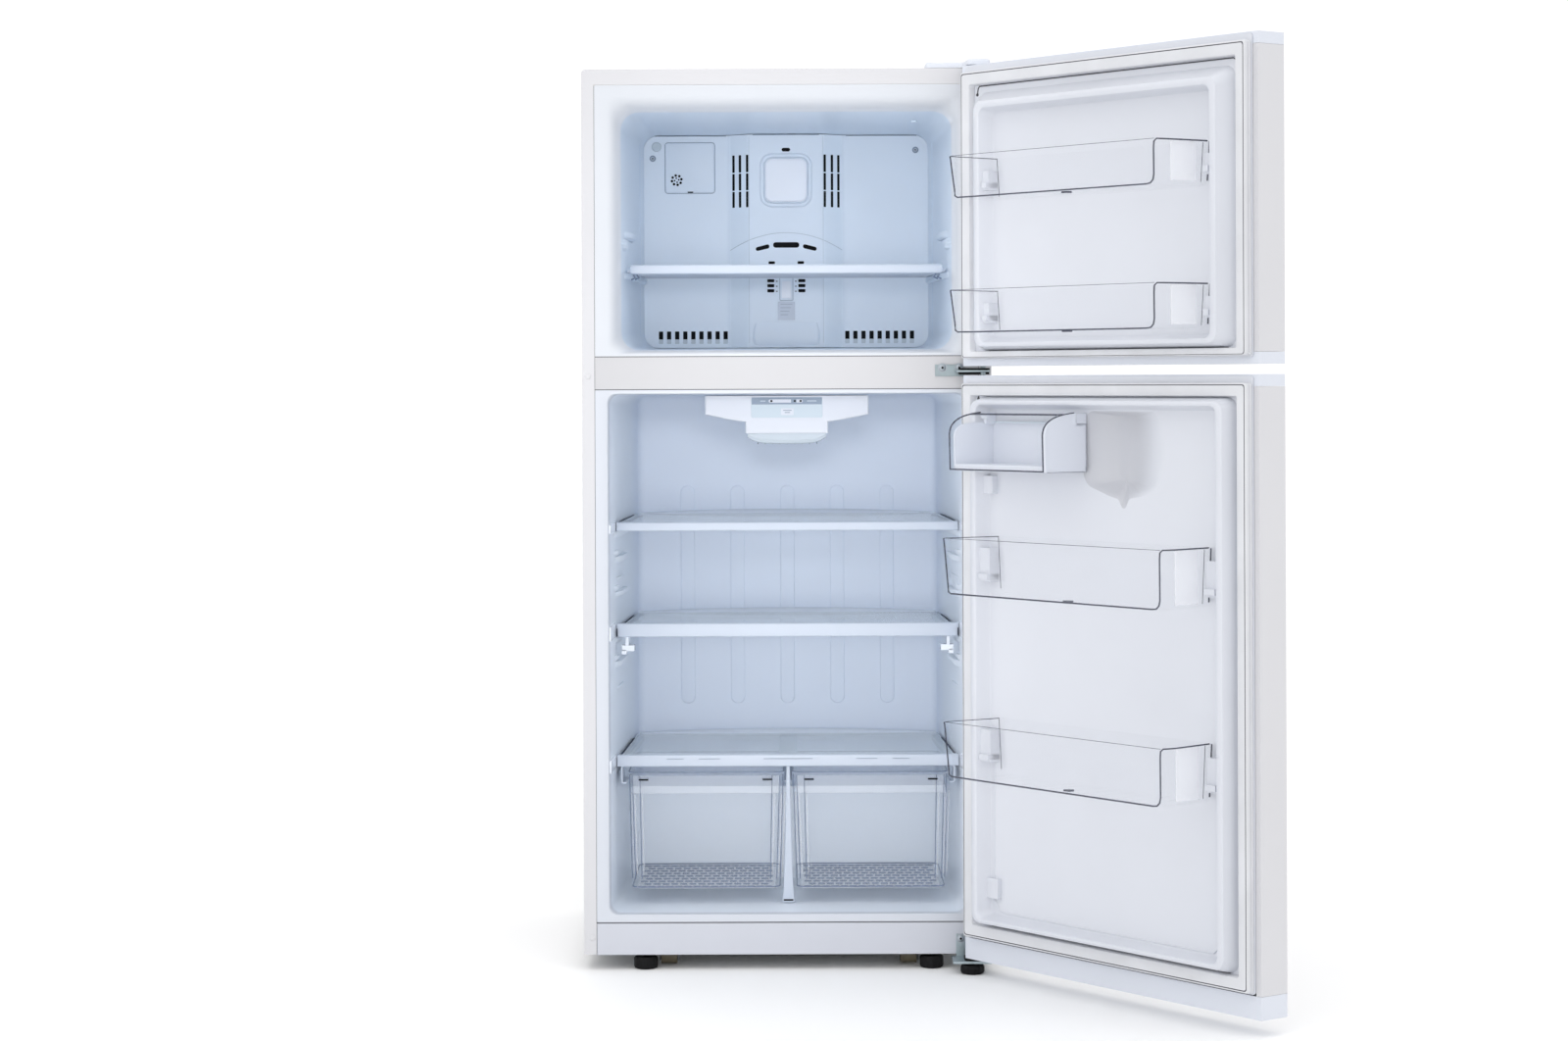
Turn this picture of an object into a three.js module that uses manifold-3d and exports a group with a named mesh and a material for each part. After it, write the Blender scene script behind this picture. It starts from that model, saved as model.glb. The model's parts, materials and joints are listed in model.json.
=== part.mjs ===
// Top freezer refrigerator with both doors standing open. Millimetres, +Z up.
//
// Everything is laid out in the cabinet's own frame: X = 0 on the centre line, Y = 0 on the
// front flange with +Y towards the rear, Z = 0 on the floor. The doors are laid out shut, and
// a turned group swings each one about the hinge axis. The outermost group then moves the
// origin to the middle of the object's base.

import * as THREE from 'three';
import { mergeVertices } from 'three/addons/utils/BufferGeometryUtils.js';
import Module from 'manifold-3d';

// ---------- driving dimensions ----------

const GAP = 0.3; // left between pieces that touch
const CASE_WIDTH = 755;
const CASE_TOP = 1660;
const CASE_BOTTOM = 28;
const CASE_DEPTH = 690;
const SHEET = 1.2; // steel sheet
const FLANGE_SIDE = 23.5;
const FLANGE_TOP = 29;
const LINER_WALL = 2.5;
const CORNER_STEPS = 3; // segments in each rounded corner

const HALF = CASE_WIDTH / 2;
const INNER_HALF = HALF - SHEET - GAP;
const RIM_HALF = HALF - FLANGE_SIDE - GAP;

// the two cavities: at the front plane, where the rounded throat ends, and at the back
const FREEZER = {
  mouth: { half: 332, low: 1133, high: 1610, radius: 16 },
  throat: { half: 307, low: 1142, high: 1584, radius: 34 },
  back: { half: 282, low: 1151, high: 1576, radius: 28 },
  throatDepth: 50,
  depth: 605,
  rimLow: 1129.9,
  rimHigh: CASE_TOP - FLANGE_TOP - GAP,
};
const FRIDGE = {
  mouth: { half: 331.5, low: 101, high: 1062, radius: 14 },
  throat: { half: 328, low: 102, high: 1060, radius: 20 },
  back: { half: 304, low: 103, high: 1058, radius: 24 },
  throatDepth: 24,
  depth: 620,
  rimLow: 86.8,
  rimHigh: 1068.8,
};
const GRILLE_TOP = FRIDGE.rimLow - GAP;
const GRILLE_DEPTH = 12;
const FOAM_FRONT = 6;
const FOAM_BOTTOM = 45;
const ROOM_TOP = 240; // machine compartment under the refrigerator's rear step
const ROOM_FRONT = 478;

// doors
const DOOR_ANGLE = 127; // degrees that both doors stand open
const HINGE_INSET = 18.4;
const HINGE_Y = -50;
const HINGE_X = HALF - HINGE_INSET;
const DOOR_OUTER_Y = -82;
const DOOR_INNER_Y = -18;
const PANEL_Y = DOOR_INNER_Y + GAP; // back of the door liner's plate
// a dike edge is [lean, width]: how far its outer face leans inwards, and how wide its foot is
const UPPER_DOOR = {
  low: 1110, high: 1658, bottomCap: 20, topCap: 20, gasketLow: 1124, gasketHigh: 1644,
  dike: { low: 1138, high: 1605, side: [19, 42], bottom: [6, 22], top: [17, 38] },
  grips: 'bottom',
};
const LOWER_DOOR = {
  low: 29, high: 1093, bottomCap: 39, topCap: 20, gasketLow: 73, gasketHigh: 1079,
  dike: { low: 99.5, high: 1055, side: [7, 30], bottom: [6, 22], top: [6, 22] },
  grips: 'top',
};
const GASKET_OUTER = 363.5;
const GASKET_INNER = 339;
const PIN_RADIUS = 5;
const SOCKET_RADIUS = 5.6;

// shelves and drawers
const SHELF_FRONT = 115;
const SHELF_BACK = 575;
const UPPER_SHELF_Z = 803;
const MIDDLE_SHELF_Z = 604;
const CRISPER_COVER_Z = 360;
const FREEZER_SHELF_Z = 1289;
const CRISPER_FLOOR = 131;
const CRISPER_RIM = 352;

// base
const BASE_PLATE = [28.3, 30.3];
const FOOT_X = 264;
const FOOT_Y = 18;
const HINGE_FOOT_X = 336;
const STUD_RADIUS = 4;
const STUD_HOLE = 4.6;
const FRONT_ROLLER = { x: 222, y: 52, z: 17.5, radius: 15, width: 30 };
const REAR_ROLLER = { x: 250, y: 640, z: 17, radius: 17, width: 24 };
const AXLE_RADIUS = 4;
const AXLE_HOLE = 4.5;

// ---------- solids ----------

const wasm = await Module();
wasm.setup();

function toSolid(geometry) {
  const bare = geometry.clone();
  bare.deleteAttribute('normal');
  bare.deleteAttribute('uv');
  const merged = mergeVertices(bare, 1e-4);
  const vertProperties = Float32Array.from(merged.attributes.position.array);
  const triVerts = Uint32Array.from(merged.index.array);
  return new wasm.Manifold(new wasm.Mesh({ numProp: 3, vertProperties, triVerts }));
}

function toGeometry(solid) {
  const mesh = solid.getMesh();
  const geometry = new THREE.BufferGeometry();
  geometry.setAttribute('position', new THREE.BufferAttribute(Float32Array.from(mesh.vertProperties), 3));
  geometry.setIndex(new THREE.BufferAttribute(Uint32Array.from(mesh.triVerts), 1));
  const flat = geometry.toNonIndexed();
  flat.computeVertexNormals();
  return flat;
}

const join = (...solids) => solids.flat(2).reduce((sum, next) => sum.add(next));
const cut = (solid, ...tools) => tools.flat(2).reduce((rest, tool) => rest.subtract(tool), solid);

function block([x0, x1], [y0, y1], [z0, z1]) {
  const box = new THREE.BoxGeometry(x1 - x0, y1 - y0, z1 - z0);
  box.translate((x0 + x1) / 2, (y0 + y1) / 2, (z0 + z1) / 2);
  return toSolid(box);
}

// a block and its mirror image across the centre plane
const pair = ([x0, x1], y, z) => [block([x0, x1], y, z), block([-x1, -x0], y, z)];

function toShape(outline) {
  return Array.isArray(outline) ? new THREE.Shape(outline.map(([u, v]) => new THREE.Vector2(u, v))) : outline;
}

function extrude(outline, depth, curveSegments = 6) {
  return new THREE.ExtrudeGeometry(toShape(outline), { depth, bevelEnabled: false, curveSegments });
}

// an outline in XY raised along Z
function alongZ(outline, [z0, z1], curveSegments) {
  const geometry = extrude(outline, z1 - z0, curveSegments);
  geometry.translate(0, 0, z0);
  return toSolid(geometry);
}

// an outline in XZ drawn along Y
function alongY(outline, [y0, y1], curveSegments) {
  const geometry = extrude(outline, y1 - y0, curveSegments);
  const basis = new THREE.Matrix4();
  basis.makeBasis(new THREE.Vector3(1, 0, 0), new THREE.Vector3(0, 0, 1), new THREE.Vector3(0, -1, 0));
  geometry.applyMatrix4(basis);
  geometry.translate(0, y1, 0);
  return toSolid(geometry);
}

// an outline in YZ drawn along X
function alongX(outline, [x0, x1], curveSegments) {
  const geometry = extrude(outline, x1 - x0, curveSegments);
  const basis = new THREE.Matrix4();
  basis.makeBasis(new THREE.Vector3(0, 1, 0), new THREE.Vector3(0, 0, 1), new THREE.Vector3(1, 0, 0));
  geometry.applyMatrix4(basis);
  geometry.translate(x0, 0, 0);
  return toSolid(geometry);
}

// a round bar between two values of one coordinate; centre gives the other two in X, Y, Z order
function bar(axis, radius, [from, to], centre, sides = 16) {
  const geometry = new THREE.CylinderGeometry(radius, radius, to - from, sides);
  const middle = (from + to) / 2;
  if (axis === 'x') {
    geometry.rotateZ(Math.PI / 2);
    geometry.translate(middle, ...centre);
  } else if (axis === 'y') {
    geometry.translate(centre[0], middle, centre[1]);
  } else {
    geometry.rotateX(Math.PI / 2);
    geometry.translate(...centre, middle);
  }
  return toSolid(geometry);
}

// a profile of [radius, height] points turned about a vertical axis
function turned(profile, [x, y], sides = 24) {
  const geometry = new THREE.LatheGeometry(profile.map(([r, z]) => new THREE.Vector2(r, z)), sides);
  geometry.rotateX(Math.PI / 2);
  geometry.translate(x, y, 0);
  return toSolid(geometry);
}

// a convex polygon with rounded corners, as a list of points
function rounded(corners, radius, steps = CORNER_STEPS) {
  const points = [];
  corners.forEach((corner, i) => {
    const here = new THREE.Vector2(...corner);
    const before = new THREE.Vector2(...corners.at(i - 1)).sub(here).normalize();
    const after = new THREE.Vector2(...corners[(i + 1) % corners.length]).sub(here).normalize();
    const r = Array.isArray(radius) ? radius[i] : radius;
    const halfAngle = Math.acos(before.dot(after)) / 2;
    const middle = before.clone().add(after).normalize();
    const centre = here.clone().addScaledVector(middle, r / Math.sin(halfAngle));
    const touch = here.clone().addScaledVector(before, r / Math.tan(halfAngle)).sub(centre);
    const turn = Math.PI - 2 * halfAngle;
    for (let k = 0; k <= steps; k += 1) {
      const point = touch.clone().rotateAround(new THREE.Vector2(), (turn * k) / steps).add(centre);
      points.push([point.x, point.y]);
    }
  });
  return points;
}

const rectangle = ([u0, u1], [v0, v1]) => [[u0, v0], [u1, v0], [u1, v1], [u0, v1]];

// skins a list of rings with the same number of points and closes both ends
function loft(rings) {
  const count = rings[0].length;
  const positions = rings.flat().flatMap((p) => [p.x, p.y, p.z]);
  const index = [];
  for (let r = 0; r + 1 < rings.length; r += 1) {
    for (let k = 0; k < count; k += 1) {
      const a = r * count + k;
      const b = r * count + ((k + 1) % count);
      index.push(a, b, b + count, a, b + count, a + count);
    }
  }
  const last = (rings.length - 1) * count;
  for (let k = 1; k + 1 < count; k += 1) {
    index.push(0, k + 1, k, last, last + k, last + k + 1);
  }
  const geometry = new THREE.BufferGeometry();
  geometry.setAttribute('position', new THREE.Float32BufferAttribute(positions, 3));
  geometry.setIndex(signedVolume(positions, index) < 0 ? index.reverse() : index);
  return toSolid(geometry);
}

function signedVolume(positions, index) {
  const point = (i) => new THREE.Vector3().fromArray(positions, 3 * i);
  let sum = 0;
  for (let i = 0; i < index.length; i += 3) {
    sum += point(index[i]).dot(point(index[i + 1]).cross(point(index[i + 2])));
  }
  return sum;
}

// a rounded rectangle standing in XZ at depth y
function frontRing({ half, low, high, radius }, y) {
  const loop = rounded(rectangle([-half, half], [low, high]), radius);
  return loop.map(([x, z]) => new THREE.Vector3(x, y, z));
}

// a rounded polygon lying in XY at height z
const flatRing = (corners, radius, z) =>
  rounded(corners, radius).map(([x, y]) => new THREE.Vector3(x, y, z));

// ---------- materials ----------

const finish = (color, roughness, metalness = 0) =>
  new THREE.MeshStandardMaterial({ color, roughness, metalness });
const whiteSteel = finish(0xececee, 0.35, 0.1);
const whitePlastic = finish(0xeaecf0, 0.4);
const linerPlastic = finish(0xc3cfe0, 0.45);
const doorPlastic = finish(0xdcdfe6, 0.4);
const clearPlastic = finish(0xd3dbe8, 0.12);
const glass = finish(0xcfe0e6, 0.05);
const gasketRubber = finish(0xd9dade, 0.7);
const zinc = finish(0xa9afb4, 0.35, 0.9);
const blackSteel = finish(0x1b1c1e, 0.45, 0.4);
const blackPlastic = finish(0x141416, 0.5);
const brownPlastic = finish(0x4a4338, 0.6);
const copper = finish(0xb06a3f, 0.35, 0.9);
const aluminium = finish(0xb8bcc0, 0.4, 0.9);
const foam = finish(0xe8dfb8, 0.9);
const galvanised = finish(0x9ea3a6, 0.5, 0.8);
const panelGrey = finish(0x8f99a8, 0.4);

// ---------- cabinet ----------

// an arch open at the floor, with legs `side` wide and a top `top` deep
function archShape(side, top, innerRadius) {
  const outerRadius = 8;
  const shape = new THREE.Shape();
  shape.moveTo(-HALF, CASE_BOTTOM);
  shape.lineTo(-HALF, CASE_TOP - outerRadius);
  shape.absarc(-HALF + outerRadius, CASE_TOP - outerRadius, outerRadius, Math.PI, Math.PI / 2, true);
  shape.lineTo(HALF - outerRadius, CASE_TOP);
  shape.absarc(HALF - outerRadius, CASE_TOP - outerRadius, outerRadius, Math.PI / 2, 0, true);
  shape.lineTo(HALF, CASE_BOTTOM);
  shape.lineTo(HALF - side, CASE_BOTTOM);
  const x = HALF - side - innerRadius;
  const z = CASE_TOP - top - innerRadius;
  shape.lineTo(HALF - side, z);
  if (innerRadius > 0) shape.absarc(x, z, innerRadius, 0, Math.PI / 2, false);
  shape.lineTo(-x, CASE_TOP - top);
  if (innerRadius > 0) shape.absarc(-x, z, innerRadius, Math.PI / 2, Math.PI, false);
  shape.lineTo(-HALF + side, CASE_BOTTOM);
  return shape;
}

function outerCase() {
  const wrap = alongY(archShape(SHEET, SHEET, 6.8), [0, CASE_DEPTH], 4);
  const flange = alongY(archShape(FLANGE_SIDE, FLANGE_TOP, 0), [0, 1.5], 4);
  return join(wrap, flange);
}

const THROAT_STEPS = 3;

// rings down a cavity from its mouth to its back, moved outwards by `grow`
function cavityRings(cavity, grow) {
  const rings = [];
  const mix = (a, b, t) => a + (b - a) * t;
  for (let i = 0; i <= THROAT_STEPS; i += 1) {
    const angle = (i / THROAT_STEPS) * (Math.PI / 2);
    const t = Math.sin(angle);
    const out = grow * t;
    const size = {
      half: mix(cavity.mouth.half, cavity.throat.half, t) + out,
      low: mix(cavity.mouth.low, cavity.throat.low, t) - out,
      high: mix(cavity.mouth.high, cavity.throat.high, t) + out,
      radius: mix(cavity.mouth.radius, cavity.throat.radius, t) + out,
    };
    rings.push(frontRing(size, cavity.throatDepth * (1 - Math.cos(angle)) + grow * Math.cos(angle)));
  }
  const { half, low, high, radius } = cavity.back;
  const back = { half: half + grow, low: low - grow, high: high + grow, radius: radius + grow };
  rings.push(frontRing(back, cavity.depth + grow));
  return rings;
}

function linerShell(cavity) {
  const rim = { half: RIM_HALF, low: cavity.rimLow, high: cavity.rimHigh, radius: 2.5 };
  const outside = cavityRings(cavity, LINER_WALL).reverse();
  const inside = cavityRings(cavity, 0);
  return loft([...outside, frontRing(rim, LINER_WALL), frontRing(rim, 0), ...inside]);
}

const cavityPlug = (cavity, grow) => loft(cavityRings(cavity, grow));

// half the cavity's width at a depth behind the throat
function wallAt(cavity, y) {
  const t = (y - cavity.throatDepth) / (cavity.depth - cavity.throatDepth);
  return cavity.throat.half + (cavity.back.half - cavity.throat.half) * t;
}

// ledges moulded in both side walls, that shelves rest on
function ledges(cavity, depth, [y0, y1], z) {
  const rootSink = 1;
  const a = wallAt(cavity, y0);
  const b = wallAt(cavity, y1);
  const plan = [[a + rootSink, y0], [b + rootSink, y1], [b - depth, y1], [a - depth, y0]];
  const mirrored = plan.map(([x, y]) => [-x, y]);
  return [alongZ(plan, z), alongZ(mirrored, z)];
}

function freezerLiner() {
  const shelf = ledges(FREEZER, 9, [115, 500], [FREEZER_SHELF_Z - 12, FREEZER_SHELF_Z - 0.4]);
  const spare = ledges(FREEZER, 9, [115, 260], [1352, 1366]);
  return join(linerShell(FREEZER), shelf, spare);
}

const FRIDGE_STEP = [[428, 80], [452, 282], [660, 282], [660, 80]];

function stepTool(shrink) {
  const plan = FRIDGE_STEP.map(([y, z]) => [y + shrink, z > 100 ? z - shrink : z]);
  return alongX(plan, [-HALF, HALF]);
}

function fridgeLiner() {
  const rim = { half: RIM_HALF, low: FRIDGE.rimLow, high: FRIDGE.rimHigh, radius: 2.5 };
  const outside = cavityRings(FRIDGE, LINER_WALL).reverse();
  const body = loft([...outside, frontRing(rim, LINER_WALL), frontRing(rim, 0)]);
  const cavity = loft([frontRing(FRIDGE.mouth, -1), ...cavityRings(FRIDGE, 0)]);
  const shell = cut(cut(body, stepTool(LINER_WALL)), cut(cavity, stepTool(0)));
  const ledgeDepth = 9;
  const shelfLedges = [UPPER_SHELF_Z, MIDDLE_SHELF_Z].map((z) =>
    ledges(FRIDGE, ledgeDepth, [118, 560], [z - 12, z - 0.4]));
  const coverLedges = ledges(FRIDGE, 5, [118, 560], [CRISPER_COVER_Z - 12, CRISPER_COVER_Z - 0.4]);
  const spareLedges = [742, 676, 545].map((z) => ledges(FRIDGE, ledgeDepth, [118, 300], [z, z + 12]));
  return join(shell, shelfLedges, coverLedges, spareLedges);
}

function insulation() {
  const bulk = block([-INNER_HALF, INNER_HALF], [FOAM_FRONT, 688.5], [FOAM_BOTTOM, CASE_TOP - SHEET - GAP]);
  const behindGrille = block([-HALF, HALF], [0, GRILLE_DEPTH + 1], [0, GRILLE_TOP + GAP]);
  const room = [[ROOM_FRONT - 10, 0], [ROOM_FRONT + 10, ROOM_TOP], [700, ROOM_TOP], [700, 0]];
  const fridge = cut(cavityPlug(FRIDGE, LINER_WALL + GAP), stepTool(LINER_WALL + GAP));
  const topCorners = [
    [HALF - 1, CASE_TOP - 1], [-HALF + 1, CASE_TOP - 1],
  ].map(([x, z]) => alongY([[x - 8, z + 2], [x - 8, z - 8], [x + 8, z - 8], [x + 8, z + 2]], [0, 700]));
  const freezer = cavityPlug(FREEZER, LINER_WALL + GAP);
  return cut(bulk, behindGrille, topCorners, freezer, fridge, alongX(room, [-HALF, HALF]));
}

const backPanel = () =>
  block([-INNER_HALF, INNER_HALF], [688.8, CASE_DEPTH], [ROOM_TOP + 16, CASE_TOP - SHEET - GAP - 6]);

function mullionCover() {
  const span = [FRIDGE.rimHigh + GAP, FREEZER.rimLow - GAP];
  return block([-RIM_HALF, RIM_HALF], [0, 1.5], span);
}

function baseGrille() {
  const bevel = 2.5;
  const profile = [
    [0, 27], [GRILLE_DEPTH, 27], [GRILLE_DEPTH, GRILLE_TOP], [bevel, GRILLE_TOP],
    [0, GRILLE_TOP - bevel],
  ];
  const plate = alongX(profile, [-RIM_HALF, RIM_HALF]);
  return cut(plate, block([-RIM_HALF + 3, RIM_HALF - 3], [3, GRILLE_DEPTH + 1], [26, GRILLE_TOP - 3]));
}

function machineRoomCover() {
  const plate = block([-INNER_HALF, INNER_HALF], [688.8, CASE_DEPTH], [31, ROOM_TOP + 15]);
  const slots = [];
  for (let row = 0; row < 3; row += 1) {
    for (let column = 0; column < 6; column += 1) {
      const x = -300 + column * 108;
      const z = 80 + row * 50;
      slots.push(block([x, x + 64], [688, 691], [z, z + 12]));
    }
  }
  return cut(plate, slots);
}

// ---------- base ----------

function basePan() {
  const plate = block([-INNER_HALF, INNER_HALF], [GRILLE_DEPTH + GAP, 688.5], BASE_PLATE);
  const top = BASE_PLATE[0] + 1;
  const front = FRONT_ROLLER;
  const rear = REAR_ROLLER;
  const around = (middle, reach) => [middle - reach, middle + reach];
  const added = [];
  const removed = [];
  for (const side of [-1, 1]) {
    const frontX = side * front.x;
    const earReach = front.width / 2 + 2;
    for (const x of around(frontX, earReach)) {
      added.push(block(around(x, 1), around(front.y, 11), [9, top]));
    }
    added.push(bar('x', AXLE_RADIUS - 1, around(frontX, earReach), [front.y, front.z], 12));
    removed.push(block(around(frontX, front.width / 2 + 0.8), around(front.y, 18), [25, 40]));
    removed.push(bar('z', STUD_HOLE, [25, 35], [side * FOOT_X, FOOT_Y]));
    const rearReach = rear.width / 2 + 2;
    const earX = side * (rear.x - rearReach - 4);
    added.push(block(around(earX, 1.5), around(rear.y, 12), [8, top]));
    removed.push(block(around(side * rear.x, rearReach), around(rear.y, 20), [25, 40]));
    removed.push(bar('x', AXLE_HOLE, around(earX, 3), [rear.y, rear.z], 12));
  }
  return cut(join(plate, added), removed);
}

function levellingFoot(x, y, padTop) {
  const profile = [
    [0, 0], [17, 0], [20.5, 1.5], [22, 5], [22, padTop - 3], [20, padTop],
    [STUD_RADIUS, padTop], [STUD_RADIUS, padTop + 20], [0, padTop + 20],
  ];
  return turned(profile, [x, y], 16);
}

function hingeFoot() {
  const profile = [
    [0, 0], [17, 0], [20.5, 1.5], [22, 5], [22, 13], [20, 16],
    [STUD_RADIUS, 16], [STUD_RADIUS, 26], [0, 26],
  ];
  return turned(profile, [HINGE_FOOT_X, HINGE_Y], 16);
}

function frontRoller(side) {
  const { x, y, z, radius, width } = FRONT_ROLLER;
  const [x0, x1] = [side * x - width / 2, side * x + width / 2];
  const bore = bar('x', AXLE_RADIUS - 0.6, [x0 - 1, x1 + 1], [y, z], 12);
  return cut(bar('x', radius, [x0, x1], [y, z], 20), bore);
}

function rearRollers() {
  const { x, y, z, radius, width } = REAR_ROLLER;
  const wheels = [-1, 1].map((side) =>
    bar('x', radius, [side * x - width / 2, side * x + width / 2], [y, z], 18));
  return join(bar('x', AXLE_RADIUS, [-x - 14, x + 14], [y, z], 12), wheels);
}

// ---------- machine compartment ----------

const COMPRESSOR = { x: 170, y: 580 };

function compressor() {
  const { x, y } = COMPRESSOR;
  const shell = turned([
    [0, 52], [52, 52], [70, 76], [70, 118], [73, 121], [73, 127], [70, 130], [66, 156],
    [40, 184], [0, 192],
  ], [x, y], 16);
  const plate = block([x - 95, x + 95], [y - 50, y + 50], [42, 45]);
  const legs = block([x - 40, x + 40], [y - 30, y + 30], [44, 56]);
  const relay = block([x + 64, x + 96], [y - 26, y + 26], [86, 138]);
  const pads = [];
  for (const dx of [-85, 85]) {
    for (const dy of [-40, 40]) {
      pads.push(bar('z', 8, [BASE_PLATE[1] + GAP, 43], [x + dx, y + dy], 8));
    }
  }
  return join(shell, plate, legs, relay, pads);
}

// straight runs of tube one above the other, joined by short uprights at alternate ends
function coil([x0, x1], y, z, pitch, runs, radius) {
  const sides = 6;
  const pieces = [];
  for (let i = 0; i < runs; i += 1) {
    const height = z + i * pitch;
    pieces.push(bar('x', radius, [x0 - radius, x1 + radius], [y, height], sides));
    if (i + 1 < runs) {
      const end = i % 2 ? x0 : x1;
      pieces.push(bar('z', radius * 0.96, [height, height + pitch], [end, y], sides));
    }
  }
  return join(pieces);
}

function condenser() {
  const brackets = [-300, -130].map((x) =>
    block([x - 6, x + 6], [606, 614], [BASE_PLATE[1] + GAP, 205]));
  return join(coil([-340, -90], 610, 60, 32, 5, 3.2), brackets);
}

const CONDENSER_FAN = { x: -30, y: 570, z: 128, radius: 62 };

function fanWheel(hubRadius, radius, blades, thickness) {
  const hub = bar('z', hubRadius, [0, thickness], [0, 0], 16);
  const wings = [];
  for (let i = 0; i < blades; i += 1) {
    const blade = new THREE.BoxGeometry(radius - hubRadius + 3, radius * 0.55, 2);
    blade.rotateX(0.35);
    blade.translate((radius + hubRadius) / 2 - 2, 0, thickness / 2);
    blade.rotateZ((i * 2 * Math.PI) / blades);
    wings.push(toSolid(blade));
  }
  return join(hub, wings);
}

function condenserFan() {
  const { x, y, z, radius } = CONDENSER_FAN;
  const bore = bar('z', 3.4, [-1, 9], [0, 0], 12);
  return cut(fanWheel(16, radius - 6, 5, 16), bore).rotate([0, 90, 0]).translate([x, y, z]);
}

function condenserFanMotor() {
  const { x, y, z } = CONDENSER_FAN;
  const body = bar('x', 22, [x - 46, x - 12], [y, z], 16);
  const shaft = bar('x', 3, [x - 13, x + 7], [y, z], 12);
  const post = block([x - 40, x - 34], [y - 12, y + 12], [BASE_PLATE[1] + GAP, z]);
  const foot = block([x - 46, x - 28], [y - 30, y + 30], [BASE_PLATE[1] + GAP, 33]);
  return join(body, shaft, post, foot);
}

// ---------- freezer ----------

const COVER_Y = 530; // front of the evaporator cover's flat part
const DUCT_Y = 500; // front of its raised middle
const COVER_WALL = 2.5;
const COVER = { half: 283, low: 1153, high: 1573 };

// the raised middle's section in XY
const DUCT_PLAN = [[-112, COVER_Y + 1], [112, COVER_Y + 1], [76, DUCT_Y], [-76, DUCT_Y]];

function evaporatorCover() {
  const outline = rounded(rectangle([-COVER.half, COVER.half], [COVER.low, COVER.high]), 34);
  const plate = alongY(outline, [COVER_Y, COVER_Y + COVER_WALL]);
  const duct = alongZ(DUCT_PLAN, [COVER.low + 4, COVER.high - 1]);
  const hollowPlan = [
    [-108, COVER_Y + 9], [108, COVER_Y + 9], [108, COVER_Y], [74, DUCT_Y + COVER_WALL],
    [-74, DUCT_Y + COVER_WALL], [-108, COVER_Y],
  ];
  const hollow = alongZ(hollowPlan, [COVER.low + 8, COVER.high - 4]);
  const lipY = DUCT_Y - 12;
  const scoopProfile = [[DUCT_Y + 1, 1160], [lipY, 1168], [lipY, 1182], [DUCT_Y + 1, 1200]];
  const scoop = alongX(scoopProfile, [-72, 72]);
  const face = [DUCT_Y - 2, DUCT_Y + 6];
  const holes = [
    block([-25, 25], face, [1347, 1355]),
    block([-8, 8], face, [1543, 1548]),
    block([-13, 13], face, [1246, 1298]),
  ];
  for (const side of [-1, 1]) {
    for (const z of [[1501, 1536], [1465, 1499], [1431, 1463]]) {
      for (const x of [side * 82, side * 100]) {
        holes.push(block([x - 2.5, x + 2.5], [DUCT_Y - 5, COVER_Y + 8], z));
      }
    }
    for (let i = 0; i < 6; i += 1) {
      const x = side * (126 + i * 23);
      holes.push(block([x - 6, x + 6], [COVER_Y - 2, COVER_Y + 8], [1160, 1183]));
    }
    for (const z of [1264, 1279, 1294]) {
      holes.push(block([side * 31 - 7, side * 31 + 7], face, [z, z + 5]));
    }
    const mark = [[34, 1352], [57, 1346], [57, 1340], [34, 1346]].map(([x, z]) => [side * x, z]);
    holes.push(alongY(mark, face));
  }
  return cut(join(plate, duct, scoop), hollow, holes);
}

// a rounded tile lying against a wall, with a raised rim round it
function airOutletCover() {
  const back = alongY(rounded(rectangle([-52, 52], [1431, 1538]), 20), [DUCT_Y - 5, DUCT_Y - GAP]);
  const moat = alongY(rounded(rectangle([-47, 47], [1436, 1533]), 16), [DUCT_Y - 6, DUCT_Y - 2.5]);
  const tile = alongY(rounded(rectangle([-43, 43], [1440, 1529]), 13), [DUCT_Y - 7, DUCT_Y - 2]);
  return join(cut(back, moat), tile);
}

function accessCover() {
  const outline = rounded(rectangle([-241, -144], [1462, 1561]), 5, 2);
  const plate = alongY(outline, [COVER_Y - 3.5, COVER_Y - GAP]);
  const notch = block([-196, -186], [COVER_Y - 5, COVER_Y - 1.5], [1460, 1464]);
  const holes = [];
  for (let i = 0; i < 5; i += 1) {
    const angle = (i * 2 * Math.PI) / 5;
    const centre = [-219 + 8 * Math.cos(angle), 1487 + 8 * Math.sin(angle)];
    holes.push(bar('y', 2.4, [COVER_Y - 5, COVER_Y + 1], centre, 6));
  }
  return cut(plate, notch, holes);
}

function freezerSlider() {
  const stem = block([-7, 7], [DUCT_Y - 0.6, DUCT_Y + 2.2], [1249.5, 1283]);
  const knob = block([-9, 9], [DUCT_Y - 5, DUCT_Y - 0.5], [1249.5, 1283]);
  return join(stem, knob);
}

function evaporator() {
  const fins = [];
  for (let i = 0; i < 6; i += 1) {
    const x = -210 + i * 84;
    fins.push(block([x - 1, x + 1], [552, 598], [1190, 1352]));
  }
  return join(coil([-246, 246], 575, 1216, 55, 3, 4), fins);
}

const EVAPORATOR_FAN = { y: 552, z: 1470, radius: 52 };

function evaporatorFan() {
  const { y, z, radius } = EVAPORATOR_FAN;
  const bore = bar('z', 3.4, [-1, 9], [0, 0], 12);
  return cut(fanWheel(14, radius, 4, 14), bore).rotate([90, 0, 0]).translate([0, y, z]);
}

function evaporatorFanMotor() {
  const { y, z } = EVAPORATOR_FAN;
  const body = bar('y', 20, [y + 6, y + 36], [0, z], 16);
  const shaft = bar('y', 3, [y - 6, y + 7], [0, z], 12);
  const arms = block([-90, 90], [y + 34, y + 40], [z - 8, z + 8]);
  return join(body, shaft, arms);
}

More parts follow.
